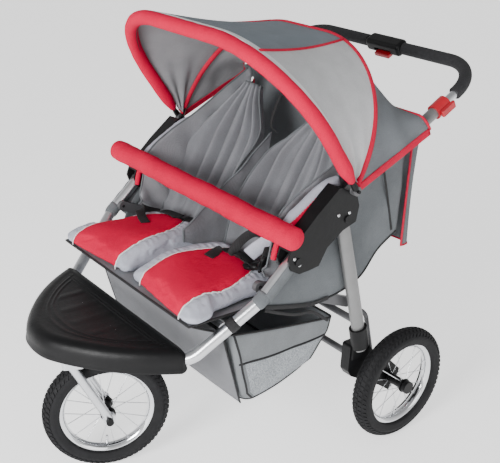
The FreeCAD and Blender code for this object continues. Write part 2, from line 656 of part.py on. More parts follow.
wing = [
    (-538, 484), (-538, 516), (-462, 569), (-350, 640), (-245, 716), (-120, 786),
    (-108, 752), (-268, 480),
]
WING_IN = 280
thin = size("panel_thin")
side_panel = prism(wing, WING_IN, WING_IN + thin)
divider = [(-560, 482), (-462, 560), (-368, 640), (-237, 722), (-185, 766), (-205, 716), (-330, 482)]
middle_panel = prism(divider, -thin, thin)
feature("seat_side_panels", Part.makeCompound([side_panel, mirrored(side_panel, RIGHT), middle_panel]))

cushion_top = DECK_TOP + size("cushion_thick") + 2 * GAP
buckle = Part.makeBox(44, 34, 12, at(133, -556, cushion_top + 2 * GAP))
buckle = buckle.makeFillet(5, [e for e in buckle.Edges if abs(e.tangentAt(0).z) > 0.9])
feature("harness_buckles", both_sides(buckle))

# ---------------------------------------------------------------- basket
# The inner outline lies one wall inside the outer one and runs out through the open top.
BASKET_SIDE = [(-500, 410), (-172, 350), (-236, 196), (-446, 196)]
BASKET_INSIDE = [(-496.6, 420), (-175.4, 365), (-237.6, 199), (-443.6, 199)]
half = size("basket_half")
outer_basket = prism(BASKET_SIDE, -half, half)
feature("basket", outer_basket.cut(prism(BASKET_INSIDE, -half + thin, half - thin)))

# ---------------------------------------------------------------- side gussets and rear flap
gusset = [(-206, 704), (-20, 826), (-18, 800), (-52, 568), (-66, 546), (-170, 503), (-240, 520)]
GUSSET_IN, FLAP_HALF = 296, 303
feature("side_gussets", both_sides(prism(gusset, GUSSET_IN, GUSSET_IN + thin)))
flap = [(-4, 846), (22, 750), (30, 660), (30, 545), (27, 545), (27, 660), (19, 750), (-8, 843)]
feature("rear_flap", prism(flap, -FLAP_HALF, FLAP_HALF))

# ---------------------------------------------------------------- canopy
def bow_point(tilt, x, up, slide=0.0):
    """A point in a bow's plane: tilt degrees from straight ahead, up from the pivot."""
    angle = math.radians(tilt)
    y = CANOPY_PIVOT[0] - up * math.cos(angle) + slide * math.sin(angle)
    z = CANOPY_PIVOT[1] + up * math.sin(angle) + slide * math.cos(angle)
    return at(x, y, z)


def bow_path(tilt, half, low, high):
    return [bow_point(tilt, half, low), bow_point(tilt, half, high),
            bow_point(tilt, -half, high), bow_point(tilt, -half, low)]


def eyelet(x, width):
    ring = along_x(x - width / 2, x + width / 2, *CANOPY_PIVOT, 11)
    return ring.cut(along_x(x - width / 2, x + width / 2, *CANOPY_PIVOT, SMALL_PIN_ROUND + RUN))


FRONT_TILT, MID_TILT = 53.4, 114.6
FRONT_HIGH, MID_HIGH = 400, 322
FRONT_CORNER, MID_CORNER = 240, 280
FRONT_WIRE, MID_WIRE = 4, 3
SLEEVE_START = 42         # where the padding begins, up from the pivot
front_half, mid_half = size("canopy_half") + 2, size("canopy_half") - 7
front_wire = bar(bow_path(FRONT_TILT, front_half, 9, FRONT_HIGH), FRONT_WIRE, FRONT_CORNER)
mid_wire = bar(bow_path(MID_TILT, mid_half, 9, MID_HIGH), MID_WIRE, MID_CORNER)
for side in (LEFT, RIGHT):
    front_wire = front_wire.fuse(eyelet(side * front_half, 7))
    mid_wire = mid_wire.fuse(eyelet(side * mid_half, 6))
feature("canopy_front_bow", front_wire.removeSplitter())
feature("canopy_mid_bow", mid_wire.removeSplitter())
sleeve_path = bow_path(FRONT_TILT, front_half, SLEEVE_START, FRONT_HIGH)
core_path = bow_path(FRONT_TILT, front_half, SLEEVE_START - 4, FRONT_HIGH)
padding = bar(sleeve_path, size("padding_round"), FRONT_CORNER)
padding = padding.cut(bar(core_path, FRONT_WIRE + GAP, FRONT_CORNER))
feature("canopy_bow_padding", padding)


def band(points, corner, thick):
    """A thin closed outline that follows an arch, given its four corner points."""
    left_foot, left_top, right_top, right_foot = points
    up = (left_top - left_foot).normalize()
    inward = V(-thick, 0, 0)
    inner = [left_foot + inward, left_top + inward - up * thick,
             right_top - inward - up * thick, right_foot - inward]
    outer_path = rounded_path(points, corner)
    inner_path = rounded_path(inner, corner - thick)
    caps = [Part.makeLine(points[0], inner[0]), Part.makeLine(points[-1], inner[-1])]
    return Part.Wire(Part.__sortEdges__(outer_path.Edges + inner_path.Edges + caps))


def cover_section(tilt, half, low, high, slide, corner):
    points = [bow_point(tilt, half, low, slide), bow_point(tilt, half, high, slide),
              bow_point(tilt, -half, high, slide), bow_point(tilt, -half, low, slide)]
    return band(points, corner, thin)


front_section = cover_section(FRONT_TILT, front_half, 60, FRONT_HIGH + 6, 21, FRONT_CORNER)
mid_section = cover_section(MID_TILT, mid_half + 5, 30, MID_HIGH + 4, -6, MID_CORNER - 10)
feature("canopy_front_cover", Part.makeLoft([front_section, mid_section], True, True))

rear_start = cover_section(MID_TILT, mid_half + 5, 30, MID_HIGH + 4, 6, MID_CORNER - 10)
# Its rear edge stands square to the fabric, so the wall keeps its thickness down to the hem.
REAR_TILT = math.radians(110)
hem_rise = V(0, -math.cos(REAR_TILT), math.sin(REAR_TILT)) * 34
HEM_ALONG = 246           # the cover's rear hem, up the handle's line
hem_left, hem_right = on_handle(HEM_ALONG, mid_half + 5), on_handle(HEM_ALONG, -mid_half - 5)
rear_points = [hem_left, hem_left + hem_rise, hem_right + hem_rise, hem_right]
rear_end = band(rear_points, 22, thin)
feature("canopy_rear_cover", Part.makeLoft([rear_start, rear_end], True, True))

# ---------------------------------------------------------------- bumper bar
bumper = Part.makeCylinder(size("bumper_round"), 2 * size("bumper_half"),
                           at(-size("bumper_half"), BUMPER_Y, BUMPER_Z), V(1, 0, 0))
bumper = bumper.makeFillet(14, [e for e in bumper.Edges if e.Closed])
peg_start = bumper_centre - peg_run * (size("bumper_round") - 3)
peg = Part.makeCylinder(9, 10, peg_start, V(0, 0, 0) - peg_run)
bumper = bumper.fuse(peg).fuse(mirrored(peg, RIGHT))
feature("bumper_bar", bumper.removeSplitter())

# ---------------------------------------------------------------- check and write
doc.recompute()
for thing in doc.Objects:
    if {"Invalid", "Error"} & set(thing.State):
        raise RuntimeError(f"{thing.Label} failed: {thing.State}")
for thing in nodes:
    shape = thing.Shape
    if shape.isNull() or not shape.isValid() or not shape.Solids:
        raise RuntimeError(f"{thing.Label} has no valid solid")
    shape.exportStep(f"parts/{thing.Label}.step")
print(len(nodes), "sub-parts written")
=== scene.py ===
"""Looks of a side-by-side double jogging stroller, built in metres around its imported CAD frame."""
import json
import math

import bpy
import numpy as np
from mathutils import Matrix, Vector
from mathutils.bvhtree import BVHTree


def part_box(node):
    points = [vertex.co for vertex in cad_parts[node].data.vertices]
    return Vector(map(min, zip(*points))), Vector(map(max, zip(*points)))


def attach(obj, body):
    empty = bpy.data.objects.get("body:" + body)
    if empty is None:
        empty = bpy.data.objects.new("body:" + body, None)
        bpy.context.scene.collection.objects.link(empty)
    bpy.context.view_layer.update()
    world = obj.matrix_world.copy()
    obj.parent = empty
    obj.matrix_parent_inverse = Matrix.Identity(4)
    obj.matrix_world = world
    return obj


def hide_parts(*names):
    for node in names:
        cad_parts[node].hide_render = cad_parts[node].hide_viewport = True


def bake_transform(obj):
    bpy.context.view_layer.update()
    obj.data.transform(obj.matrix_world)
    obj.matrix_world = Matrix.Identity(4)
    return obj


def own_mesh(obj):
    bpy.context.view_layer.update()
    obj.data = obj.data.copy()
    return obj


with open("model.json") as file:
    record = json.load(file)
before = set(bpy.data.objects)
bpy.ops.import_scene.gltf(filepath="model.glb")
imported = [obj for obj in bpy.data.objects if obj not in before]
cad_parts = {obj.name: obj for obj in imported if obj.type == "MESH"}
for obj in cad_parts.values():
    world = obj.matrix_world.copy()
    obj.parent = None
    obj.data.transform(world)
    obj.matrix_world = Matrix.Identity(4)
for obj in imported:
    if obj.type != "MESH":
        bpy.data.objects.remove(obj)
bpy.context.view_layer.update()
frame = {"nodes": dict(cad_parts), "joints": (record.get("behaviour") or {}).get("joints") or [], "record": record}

LEFT, RIGHT = 1, -1
SIDES = {"left": LEFT, "right": RIGHT}


def middle(node):
    """The centre of a CAD node's box."""
    low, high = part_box(node)
    return (low + high) / 2


AXLE = middle("rear_axle")


def at(x, y, z):
    """A point given by its place across, along from the rear axle, and above the ground."""
    return Vector((x, AXLE.y + y, z))


# ---------------------------------------------------------------- materials
def add_node(nodes, kind, **sockets):
    """A shader node with its input sockets set. An underscore in a name stands for a space."""
    made = nodes.new("ShaderNode" + kind)
    for name, value in sockets.items():
        made.inputs[name.replace("_", " ")].default_value = value
    return made


def two_stops(nodes, low, high, first, last):
    """A colour ramp from one grey or colour to another between two positions."""
    made = add_node(nodes, "ValToRGB")
    for stop, position, colour in zip(made.color_ramp.elements, (low, high), (first, last)):
        stop.position, stop.color = position, list(colour) + [1]
    return made


def texture(nodes, links, place, kind, size):
    """A height or pattern socket of one kind, with features of the given size."""
    if kind == "weave":
        total = None
        for direction in ("X", "Y", "Z"):
            wave = add_node(nodes, "TexWave", Scale=math.pi / (10 * size), Distortion=0.6)
            wave.bands_direction = direction
            links.new(place, wave.inputs["Vector"])
            if total is None:
                total = wave.outputs["Fac"]
            else:
                add = add_node(nodes, "Math")
                add.operation = "ADD"
                links.new(total, add.inputs[0])
                links.new(wave.outputs["Fac"], add.inputs[1])
                total = add.outputs[0]
        return total
    if kind == "brush":
        stretch = add_node(nodes, "Mapping", Scale=(0.05, 1, 1))
        links.new(place, stretch.inputs["Vector"])
        place = stretch.outputs["Vector"]
    if kind == "cells":
        cells = add_node(nodes, "TexVoronoi", Scale=1 / size)
        links.new(place, cells.inputs["Vector"])
        return cells.outputs["Distance"]
    noise = add_node(nodes, "TexNoise", Scale=1 / size, Detail=4)
    links.new(place, noise.inputs["Vector"])
    return noise.outputs["Fac"]


def material(name, colour, rough, metal=0.0, vary=0.1, patch=0.04, bumps=(), sheen=0.0, coat=0.0, fleck=None,
             shine=0.5):
    """A procedural material: patchy colour and gloss, fine flecks, and bumps from the textures listed."""
    made = bpy.data.materials.new(name)
    made.use_nodes = True
    nodes, links = made.node_tree.nodes, made.node_tree.links
    shader = nodes["Principled BSDF"]
    shader.inputs["Metallic"].default_value = metal
    shader.inputs["Sheen Weight"].default_value = sheen
    shader.inputs["Coat Weight"].default_value = coat
    shader.inputs["Specular IOR Level"].default_value = shine
    place = add_node(nodes, "TexCoord").outputs["Object"]
    ramp = two_stops(nodes, 0.3, 0.7, [c * (1 - vary) for c in colour], [min(1, c * (1 + vary)) for c in colour])
    links.new(texture(nodes, links, place, "grain", patch), ramp.inputs["Fac"])
    tone = ramp.outputs["Color"]
    if fleck:
        size, share = fleck
        thread = two_stops(nodes, 0.35, 0.65, [1 - share] * 3, [1 + share] * 3)
        links.new(texture(nodes, links, place, "grain", size), thread.inputs["Fac"])
        mix = add_node(nodes, "Mix")
        mix.data_type, mix.blend_type = "RGBA", "MULTIPLY"
        mix.inputs["Factor"].default_value = 1
        links.new(tone, mix.inputs["A"])
        links.new(thread.outputs["Color"], mix.inputs["B"])
        tone = mix.outputs["Result"]
    links.new(tone, shader.inputs["Base Color"])
    gloss = add_node(nodes, "MapRange", To_Min=rough * 0.8, To_Max=min(1, rough * 1.2))
    links.new(texture(nodes, links, place, "grain", patch / 6), gloss.inputs["Value"])
    links.new(gloss.outputs["Result"], shader.inputs["Roughness"])
    normal = None
    for kind, size, depth in bumps:
        bump = add_node(nodes, "Bump", Distance=depth)
        links.new(texture(nodes, links, place, kind, size), bump.inputs["Height"])
        if normal:
            links.new(normal, bump.inputs["Normal"])
        normal = bump.outputs["Normal"]
    if normal:
        links.new(normal, shader.inputs["Normal"])
    return made


CLOTH = {"rough": 0.85, "shine": 0.2, "sheen": 0.04, "vary": 0.07, "patch": 0.05, "fleck": (0.0012, 0.12),
         "bumps": (("weave", 0.0012, 0.0002), ("grain", 0.012, 0.0006))}
PAD = {"rough": 0.8, "shine": 0.2, "sheen": 0.06, "vary": 0.06, "patch": 0.06, "fleck": (0.0015, 0.1),
       "bumps": (("weave", 0.0014, 0.0002), ("grain", 0.02, 0.0015))}
GREY = material("grey_cloth", (0.130, 0.141, 0.150), **CLOTH)
SEAT_GREY = material("seat_cloth", (0.195, 0.200, 0.216), **CLOTH)
# Painted light: the wings are the seat backs' own fabric, painted about 38% lighter so that they look as brightly
# lit as the seat backs from this camera.
PAINTED_LIT_SEAT_GREY = material("seat_cloth_painted_lit", (0.270, 0.276, 0.295), **CLOTH)
APRON_GREY = material("apron_cloth", (0.175, 0.178, 0.19), **CLOTH)
BASKET_GREY = material("basket_cloth", (0.185, 0.196, 0.205), **CLOTH)
REAR_GREY = material("rear_cover_cloth", (0.135, 0.146, 0.158), **CLOTH)
LIGHT = material("light_cloth", (0.50, 0.505, 0.515), **CLOTH)
SLATE = material("slate_cloth", (0.170, 0.200, 0.228), **CLOTH)
PALE = material("pale_cloth", (0.70, 0.71, 0.72), **CLOTH)
LINING = material("lining_cloth", (0.25, 0.25, 0.262), **CLOTH)
LILAC = material("lilac_pad_cloth", (0.40, 0.415, 0.48), **PAD)
RED = material("red_pad_cloth", (0.58, 0.001, 0.042), **{**PAD, "sheen": 0.0, "shine": 0.1})
RED_TRIM = material("red_trim_tape", (0.52, 0.006, 0.040), **{**CLOTH, "sheen": 0.0})
NET = material("basket_net", (0.30, 0.32, 0.34), rough=0.6, fleck=(0.003, 0.35),
               bumps=(("weave", 0.004, 0.0009),))
WEBBING = material("black_webbing", (0.008, 0.008, 0.009), rough=0.75, vary=0.3, patch=0.01,
                   bumps=(("weave", 0.0022, 0.0004),))
SILVER = material("silver_tube_metal", (0.66, 0.67, 0.69), rough=0.3, metal=1, vary=0.05, patch=0.1,
                  bumps=(("brush", 0.002, 0.00004),))
SATIN = material("satin_grey_tube", (0.20, 0.20, 0.20), rough=0.38, metal=0.55, vary=0.05,
                 bumps=(("grain", 0.002, 0.00008),))
DARK = material("dark_tube_coat", (0.10, 0.10, 0.105), rough=0.4, metal=0.3, vary=0.1,
                bumps=(("grain", 0.0015, 0.0001),))
PLASTIC = material("moulded_black_plastic", (0.0045, 0.0045, 0.005), rough=0.42, shine=0.2, vary=0.2,
                   bumps=(("cells", 0.0016, 0.00012), ("grain", 0.03, 0.0008)))
RED_PLASTIC = material("moulded_red_plastic", (0.40, 0.004, 0.014), rough=0.38, coat=0.1,
                       bumps=(("grain", 0.003, 0.0001),))
RUBBER = material("tyre_rubber_black", (0.008, 0.008, 0.009), rough=0.72, shine=0.25, vary=0.25, patch=0.02,
                  bumps=(("grain", 0.004, 0.0004),))
CHROME = material("chrome_plate", (0.72, 0.73, 0.75), rough=0.12, metal=1, vary=0.04,
                  bumps=(("grain", 0.01, 0.00005),))
STEEL = material("zinc_steel", (0.5, 0.51, 0.52), rough=0.33, metal=1, vary=0.1,
                 bumps=(("grain", 0.003, 0.00006),))
FOAM = material("grip_foam_black", (0.014, 0.014, 0.016), rough=0.95, vary=0.25, patch=0.008,
                bumps=(("cells", 0.0025, 0.0006),))
FLOOR = material("pale_floor", (0.95, 0.95, 0.95), rough=0.7, vary=0.01, patch=0.5,
                 bumps=(("grain", 0.02, 0.0001),))
floor_inputs = FLOOR.node_tree.nodes["Principled BSDF"].inputs
floor_inputs["Emission Color"].default_value = (1, 1, 1, 1)
floor_inputs["Emission Strength"].default_value = 1.0

NODE_MATERIALS = {
    "silver_tube": SILVER, "grey_tube": SATIN, "dark_tube": DARK, "black_plastic": PLASTIC,
    "red_plastic": RED_PLASTIC, "tyre_rubber": RUBBER, "chrome": CHROME, "steel": STEEL,
    "grey_fabric": GREY, "light_fabric": LIGHT, "red_fabric": RED, "pad_fabric": LILAC,
    "basket_fabric": GREY, "foam": FOAM,
}
NODE_LOOKS = {"frame_pivot_pins": PLASTIC, "link_pins": PLASTIC, "height_clamps": RED_PLASTIC}
slot_of = {part["node"]: part["material_slot"] for part in frame["record"]["subparts"]}
for node, obj in frame["nodes"].items():
    obj.data.materials.clear()
    obj.data.materials.append(NODE_LOOKS.get(node, NODE_MATERIALS[slot_of[node]]))


# ---------------------------------------------------------------- mesh helpers
def make(name, points, faces, materials, picks=None):
    """A smooth-shaded mesh object from points and faces."""
    mesh = bpy.data.meshes.new(name)
    mesh.from_pydata([tuple(p) for p in points], [], faces)
    for each in materials:
        mesh.materials.append(each)
    if picks is not None:
        mesh.polygons.foreach_set("material_index", picks)
    mesh.polygons.foreach_set("use_smooth", [True] * len(faces))
    mesh.update()
    obj = bpy.data.objects.new(name, mesh)
    bpy.context.scene.collection.objects.link(obj)
    return obj


def grid(name, rows, materials, pick=None, around=False, caps=False):
    """A surface through rows of points. around joins each row's ends; caps closes the first
    and last rows, or the last alone where it is "last"."""
    rows = np.asarray(rows, float)
    tall, wide = rows.shape[:2]
    faces, picks = [], []
    for i in range(tall - 1):
        for j in range(wide if around else wide - 1):
            k = (j + 1) % wide
            faces.append((i * wide + j, i * wide + k, (i + 1) * wide + k, (i + 1) * wide + j))
            picks.append(pick(i, j) if pick else 0)
    if caps:
        if caps != "last":
            faces.append(tuple(reversed(range(wide))))
            picks.append(0)
        faces.append(tuple((tall - 1) * wide + j for j in range(wide)))
        picks.append(0)
    return make(name, rows.reshape(-1, 3), faces, materials, picks)


def unit(vectors):
    """Vectors made one long."""
    return vectors / np.maximum(np.linalg.norm(vectors, axis=-1, keepdims=True), 1e-12)


def tangents(path):
    return unit(np.gradient(np.asarray(path, float), axis=0))


def tube(name, path, radius, materials, sides=12, loop=False):
    """A round tube along a path. The radius is one number or one for each point."""
    path = np.asarray(path, float)
    if loop:
        path = np.vstack([path, path[:1]])
    run = tangents(path)
    radius = np.broadcast_to(radius, len(path))
    side = unit(np.cross(run[0], (0.3, 0.5, 0.8)))
    rows = []
    for point, along, r in zip(path, run, radius):
        side = unit(side - along * side.dot(along))
        other = np.cross(along, side)
        turn = np.linspace(0, 2 * math.pi, sides, endpoint=False)[:, None]
        rows.append(point + r * (np.cos(turn) * side + np.sin(turn) * other))
    return grid(name, rows, materials, around=True, caps=not loop)


def ribbon(name, path, across, width, thick, materials):
    """A flat strap along a path, as wide as given along the across direction."""
    path = np.asarray(path, float)
    run = tangents(path)
    across = np.broadcast_to(np.asarray(across, float), path.shape)
    across = unit(across - run * (across * run).sum(1, keepdims=True))
    normal = np.cross(run, across)
    section = [(-1, -0.5), (-0.9, -1), (0, -1), (0.9, -1), (1, -0.5),
               (1, 0.5), (0.9, 1), (0, 1), (-0.9, 1), (-1, 0.5)]
    rows = np.stack([path + across * a * width / 2 + normal * b * thick / 2 for a, b in section], axis=1)
    return grid(name, rows, materials, around=True, caps=True)


def smooth_path(points, count):
    """A smooth curve through given points, as count points."""
    points = np.array([tuple(p) for p in points], float)
    ends = np.vstack([2 * points[0] - points[1], points, 2 * points[-1] - points[-2]])
    spans = np.linalg.norm(np.diff(points, axis=0), axis=1)
    marks = np.concatenate([[0], np.cumsum(spans)])
    made = []
    for place in np.linspace(0, marks[-1], count):
        k = min(int(np.searchsorted(marks, place, side="right")) - 1, len(spans) - 1)
        w = (place - marks[k]) / max(spans[k], 1e-9)
        a, b, c, d = ends[k:k + 4]
        made.append(0.5 * (2 * b + (c - a) * w + (2 * a - 5 * b + 4 * c - d) * w ** 2
                           + (3 * b - a - 3 * c + d) * w ** 3))
    return np.array(made)


def lathe(name, profile, centre, axis, materials, steps=72, closed=True):
    """A ring turned about an axis through centre, from a profile of (radius, place along the axis)."""
    axis = np.array(Vector(axis).normalized())
    first = unit(np.cross(axis, (0, 0, 1)))
    second = np.cross(axis, first)
    rows = []
    for turn in np.linspace(0, 2 * math.pi, steps, endpoint=False):
        out = math.cos(turn) * first + math.sin(turn) * second
        rows.append([np.array(centre) + r * out + a * axis for r, a in profile])
    rows.append(rows[0])
    made = grid(name, rows, materials, around=closed)
    weld(made)
    return made


def bake(obj):
    """Applies every modifier to the object's mesh."""
    graph = bpy.context.evaluated_depsgraph_get()
    mesh = bpy.data.meshes.new_from_object(obj.evaluated_get(graph), depsgraph=graph)
    obj.modifiers.clear()
    obj.data = mesh
    mesh.polygons.foreach_set("use_smooth", [True] * len(mesh.polygons))
    return obj


def weld(obj, reach=0.00002):
    step = obj.modifiers.new("weld", "WELD")
    step.merge_threshold = reach
    return bake(obj)


def thicken(obj, thick, offset=0.0, inner=None):
    """Gives a sheet its thickness. inner is the material slot number of the hidden side."""
    step = obj.modifiers.new("thickness", "SOLIDIFY")
    step.thickness = thick
    step.offset = offset
    if inner is not None:
        step.material_offset = inner
    return obj


def soften(obj, levels=1):
    step = obj.modifiers.new("rounding", "SUBSURF")
    step.levels = step.render_levels = levels
    return obj


def coords(obj):
    values = np.empty(len(obj.data.vertices) * 3)
    obj.data.vertices.foreach_get("co", values)
    return values.reshape(-1, 3)


def set_coords(obj, values):
    obj.data.vertices.foreach_set("co", np.asarray(values, float).ravel())
    obj.data.update()


def join(name, parts):
    """Several objects made into one."""
    with bpy.context.temp_override(active_object=parts[0], selected_editable_objects=parts,
                                   selected_objects=parts, object=parts[0]):
        bpy.ops.object.join()
    parts[0].name = name
    parts[0].data.name = name
    return parts[0]


def carry(piece, body, stands_for=None):
    """Puts a piece on a body, or where body is a function, passes the piece to it, and hides the CAD part it stands
    for.
    """
    if callable(body):
        body(piece)
    else:
        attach(piece, body)
    if stands_for:
        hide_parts(stands_for)
    return piece


def ramp01(value, low, high):
    """0 below low, 1 above high, smooth between."""
    w = np.clip((np.asarray(value, float) - low) / (high - low), 0, 1)
    return w * w * (3 - 2 * w)


def puff(pad, voxel, pressure, cap):
    """Remeshes a closed pad and swells it as cloth under pressure, no point further than cap."""
    step = pad.modifiers.new("remesh", "REMESH")
    step.mode = "VOXEL"
    step.voxel_size = voxel
    bake(pad)
    start = coords(pad)
    cloth = pad.modifiers.new("cloth", "CLOTH")
    cloth.settings.use_pressure = True
    cloth.settings.uniform_pressure_force = pressure
    cloth.settings.effector_weights.gravity = 0
    for number in range(1, 21):
        bpy.context.scene.frame_set(number)
    bake(pad)
    bpy.context.scene.frame_set(1)
    moved = coords(pad) - start
    length = np.linalg.norm(moved, axis=1, keepdims=True)
    set_coords(pad, start + moved * np.minimum(1, cap / np.maximum(length, 1e-9)))
    soften(pad)
    return bake(pad)


# ---------------------------------------------------------------- wheels
TYRE_ROUND = 0.027
TREAD_STEPS = 66
TREAD_ROWS = (-0.95, -0.48, 0.0, 0.48, 0.95)


def wheel_looks(prefix, body, axis):
    """A treaded tyre and a lipped rim around the CAD hub and spokes."""
    centre = np.array(middle(prefix + "_rim"))
    axis = np.array(Vector(axis).normalized())
    first = unit(np.cross(axis, (0, 0, 1)))
    second = np.cross(axis, first)
    ring = centre[2] - TYRE_ROUND
    casing = TYRE_ROUND - 0.0022

    def place(turn, lean, deep):
        out = math.cos(turn) * first + math.sin(turn) * second
        return centre + (ring + deep * math.cos(lean)) * out + deep * math.sin(lean) * axis

    rim_edge = 0.114
    profile = []
    for lean in np.linspace(-2.15, 2.15, 25):
        deep = casing + 0.0007 * math.cos(9 * lean)
        profile.append((ring + deep * math.cos(lean), deep * math.sin(lean)))
    profile += [(rim_edge, 0.0105), (rim_edge, -0.0105)]
    tyre = lathe(prefix + "_tyre_looks", profile, centre, axis, [RUBBER], steps=96)
    points, faces = [], []
    for row, lean in enumerate(TREAD_ROWS):
        for number in range(TREAD_STEPS):
            turn = 2 * math.pi * (number + 0.5 * (row % 2)) / TREAD_STEPS
            wide = 0.19 if row in (0, 4) else 0.2
            long = 0.34 * 2 * math.pi / TREAD_STEPS
            slant = 0.010 * (row - 2)
            base = len(points)
            for deep, share in ((casing - 0.001, 1.0), (TYRE_ROUND - 0.0001, 0.82)):
                for dt, dl in ((-1, -1), (1, -1), (1, 1), (-1, 1)):
                    points.append(place(turn + share * dt * long + dl * slant, lean + share * dl * wide, deep))
            for a, b in ((0, 1), (1, 2), (2, 3), (3, 0)):
                faces.append((base + a, base + b, base + 4 + b, base + 4 + a))
            faces.append((base + 4, base + 5, base + 6, base + 7))
            faces.append((base + 3, base + 2, base + 1, base))
    blocks = make(prefix + "_tread", points, faces, [RUBBER])
    blocks.data.polygons.foreach_set("use_smooth", [False] * len(faces))
    tyre = join(prefix + "_tyre_looks", [tyre, blocks])
    carry(tyre, body, prefix + "_tyre")
    lip = [(0.1155, -0.0125), (0.1165, -0.0145), (0.1145, -0.0152), (0.1105, -0.0138), (0.1065, -0.0115),
           (0.1035, -0.0085), (0.1015, -0.0045)]
    rim_profile = lip + [(0.1010, 0.0)] + [(r, -a) for r, a in reversed(lip)] + [
        (0.1120, 0.0110), (0.1065, 0.0070), (0.1055, 0.0), (0.1065, -0.0070), (0.1120, -0.0110)]
    rim = lathe(prefix + "_rim_looks", rim_profile, centre, axis, [CHROME], steps=96)
    carry(rim, body, prefix + "_rim")


joint_axis = {joint["name"]: joint["axis"] for joint in frame["joints"]}
WHEELS = {"front": "front_wheel", "rear_left": "rear_wheel_left", "rear_right": "rear_wheel_right"}
for prefix, body in WHEELS.items():
    wheel_looks(prefix, body, joint_axis[body + "_spin"])

# ---------------------------------------------------------------- canopy
CANOPY_PIVOT = at(0, -0.232, 0.733)
FRONT_TILT, MID_TILT = 53.4, 114.6
FRONT_HALF, MID_HALF = 0.353, 0.344
CLOTH_THICK = 0.0016


def arch_length(half, low, high, corner):
    return 2 * (high - corner - low) + math.pi * corner + 2 * (half - corner)


def arch_at(half, low, high, corner, run):
    """(x, up) a distance along an arch that starts at its left foot."""
    total = arch_length(half, low, high, corner)
    if run > total / 2:
        x, up = arch_at(half, low, high, corner, total - run)
        return -x, up
    side = high - corner - low
    if run <= side:
        return half, low + run
    turn = (run - side) / corner
    if turn <= math.pi / 2:
        return half - corner + corner * math.cos(turn), high - corner + corner * math.sin(turn)
    return half - (run - side - corner * math.pi / 2) - corner, high


def in_bow(tilt, x, up, slide=0.0):
    """A point in a bow's plane: up from the pivot, and slid backwards square to the bow."""
    angle = math.radians(tilt)
    return CANOPY_PIVOT + Vector((x, slide * math.sin(angle) - up * math.cos(angle),
                                  up * math.sin(angle) + slide * math.cos(angle)))


def run_at_x(half, low, high, corner, x):
    """How far along an arch its side comes in to x."""
    return high - corner - low + corner * math.acos((x - half + corner) / corner)


def arch_columns(half, low, high, corner, seam_x, side_count, top_count):
    """(x, up) for each column: the side up to a seam, the top between the seams, and the other side."""
    total = arch_length(half, low, high, corner)
    seam = run_at_x(half, low, high, corner, seam_x)
    runs = np.concatenate([np.linspace(0, seam, side_count, endpoint=False),
                           np.linspace(seam, total - seam, top_count, endpoint=False),
                           np.linspace(total - seam, total, side_count + 1)])
    return [arch_at(half, low, high, corner, min(run, total)) for run in runs]


SIDE_COLUMNS, TOP_COLUMNS = 20, 22
SEAM_COLUMNS = (SIDE_COLUMNS, SIDE_COLUMNS + TOP_COLUMNS)
FRONT_SEAM_X, MID_SEAM_X = 0.235, 0.137
front_columns = arch_columns(0.353, 0.018, 0.413, 0.245, FRONT_SEAM_X, SIDE_COLUMNS, TOP_COLUMNS)
mid_columns = arch_columns(0.349, 0.010, 0.327, 0.28, MID_SEAM_X, SIDE_COLUMNS, TOP_COLUMNS)
FRONT_ROWS, REAR_ROWS = 26, 24


def cover_point(a, b, share, sag, x_share):
    """Between two edge points, drawn in towards the canopy's axis by the sag."""
    point = np.array(a) * (1 - share) + np.array(b) * share
    core = np.array([point[0] * x_share, CANOPY_PIVOT.y, CANOPY_PIVOT.z])
    inward = unit(core - point)
    return point + inward * sag * 4 * share * (1 - share)


front_edge = [in_bow(FRONT_TILT, x, up, 0.012) for x, up in front_columns]
mid_edge = [in_bow(MID_TILT, x, up, 0.0) for x, up in mid_columns]
front_rows = []
for i in range(FRONT_ROWS + 1):
    share = i / FRONT_ROWS
    row = []
    for j, (a, b) in enumerate(zip(front_edge, mid_edge)):
        up = front_columns[j][1]
        foot = 1 - ramp01(up, 0.05, 0.30)
        point = cover_point(a, b, share, 0.012 - 0.004 * foot, 0.4)
        side = 1 if j <= len(front_edge) // 2 else -1
        fold = foot * 0.0045 * math.sin(share * 17 + up * 9) * math.sin(math.pi * share)
        point[0] += side * fold
        row.append(point)
    front_rows.append(row)
STRIP_ROWS = 2


def front_panel(i, j):
    if i < STRIP_ROWS:
        return 2
    return 0 if SEAM_COLUMNS[0] <= j < SEAM_COLUMNS[1] else 1


front_cover = grid("canopy_front_sheet", front_rows, [LINING, LINING, LINING, SLATE, LIGHT, PALE], front_panel)
front_rows = np.array(front_rows)


def blend_front(piece):
    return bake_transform(piece)


thicken(front_cover, CLOTH_THICK, 1.0, 3)

# The rear cover falls from the mid bow to a hem between the handle tubes.
HANDLE_TILT = math.radians(30)


def on_handle(along, x=0.0, across=0.0):
    """A point along the handle's line from the bracket, and square to it."""
    return at(x, -0.220 + along * math.cos(HANDLE_TILT) - across * math.sin(HANDLE_TILT),
              0.722 + along * math.sin(HANDLE_TILT) + across * math.cos(HANDLE_TILT))


HEM_ALONG = 0.246
rear_rows = []
hem_edge = []
for x, up in mid_columns:
    lift = 0.034 * float(ramp01(up, 0.03, 0.16))
    hem_edge.append(on_handle(HEM_ALONG, x * 1.005, lift))
for i in range(REAR_ROWS + 1):
    share = i / REAR_ROWS
    row = []
    for j, (a, b) in enumerate(zip(mid_edge, hem_edge)):
        up = mid_columns[j][1]
        foot = 1 - ramp01(up, 0.03, 0.26)
        point = cover_point(a, b, share, 0.006 * (1 - foot), 0.3)
        side = 1 if j <= len(mid_edge) // 2 else -1
        free = float(ramp01(up, 0.01, 0.06)) * math.sin(math.pi * share)
        crease = 0.004 * math.exp(-((up - 0.042) / 0.012) ** 2) * math.sin(math.pi * share) ** 0.5
        point[0] += side * (foot * 0.0035 * math.sin(share * 13 + up * 16) * free - crease)
        point[2] += 0.0025 * math.sin(9 * share + 14 * point[0]) * free
        row.append(point)
    rear_rows.append(row)
rear_cover = grid("canopy_rear_sheet", rear_rows, [LINING, REAR_GREY], lambda i, j: 0)
rear_rows = np.array(rear_rows)
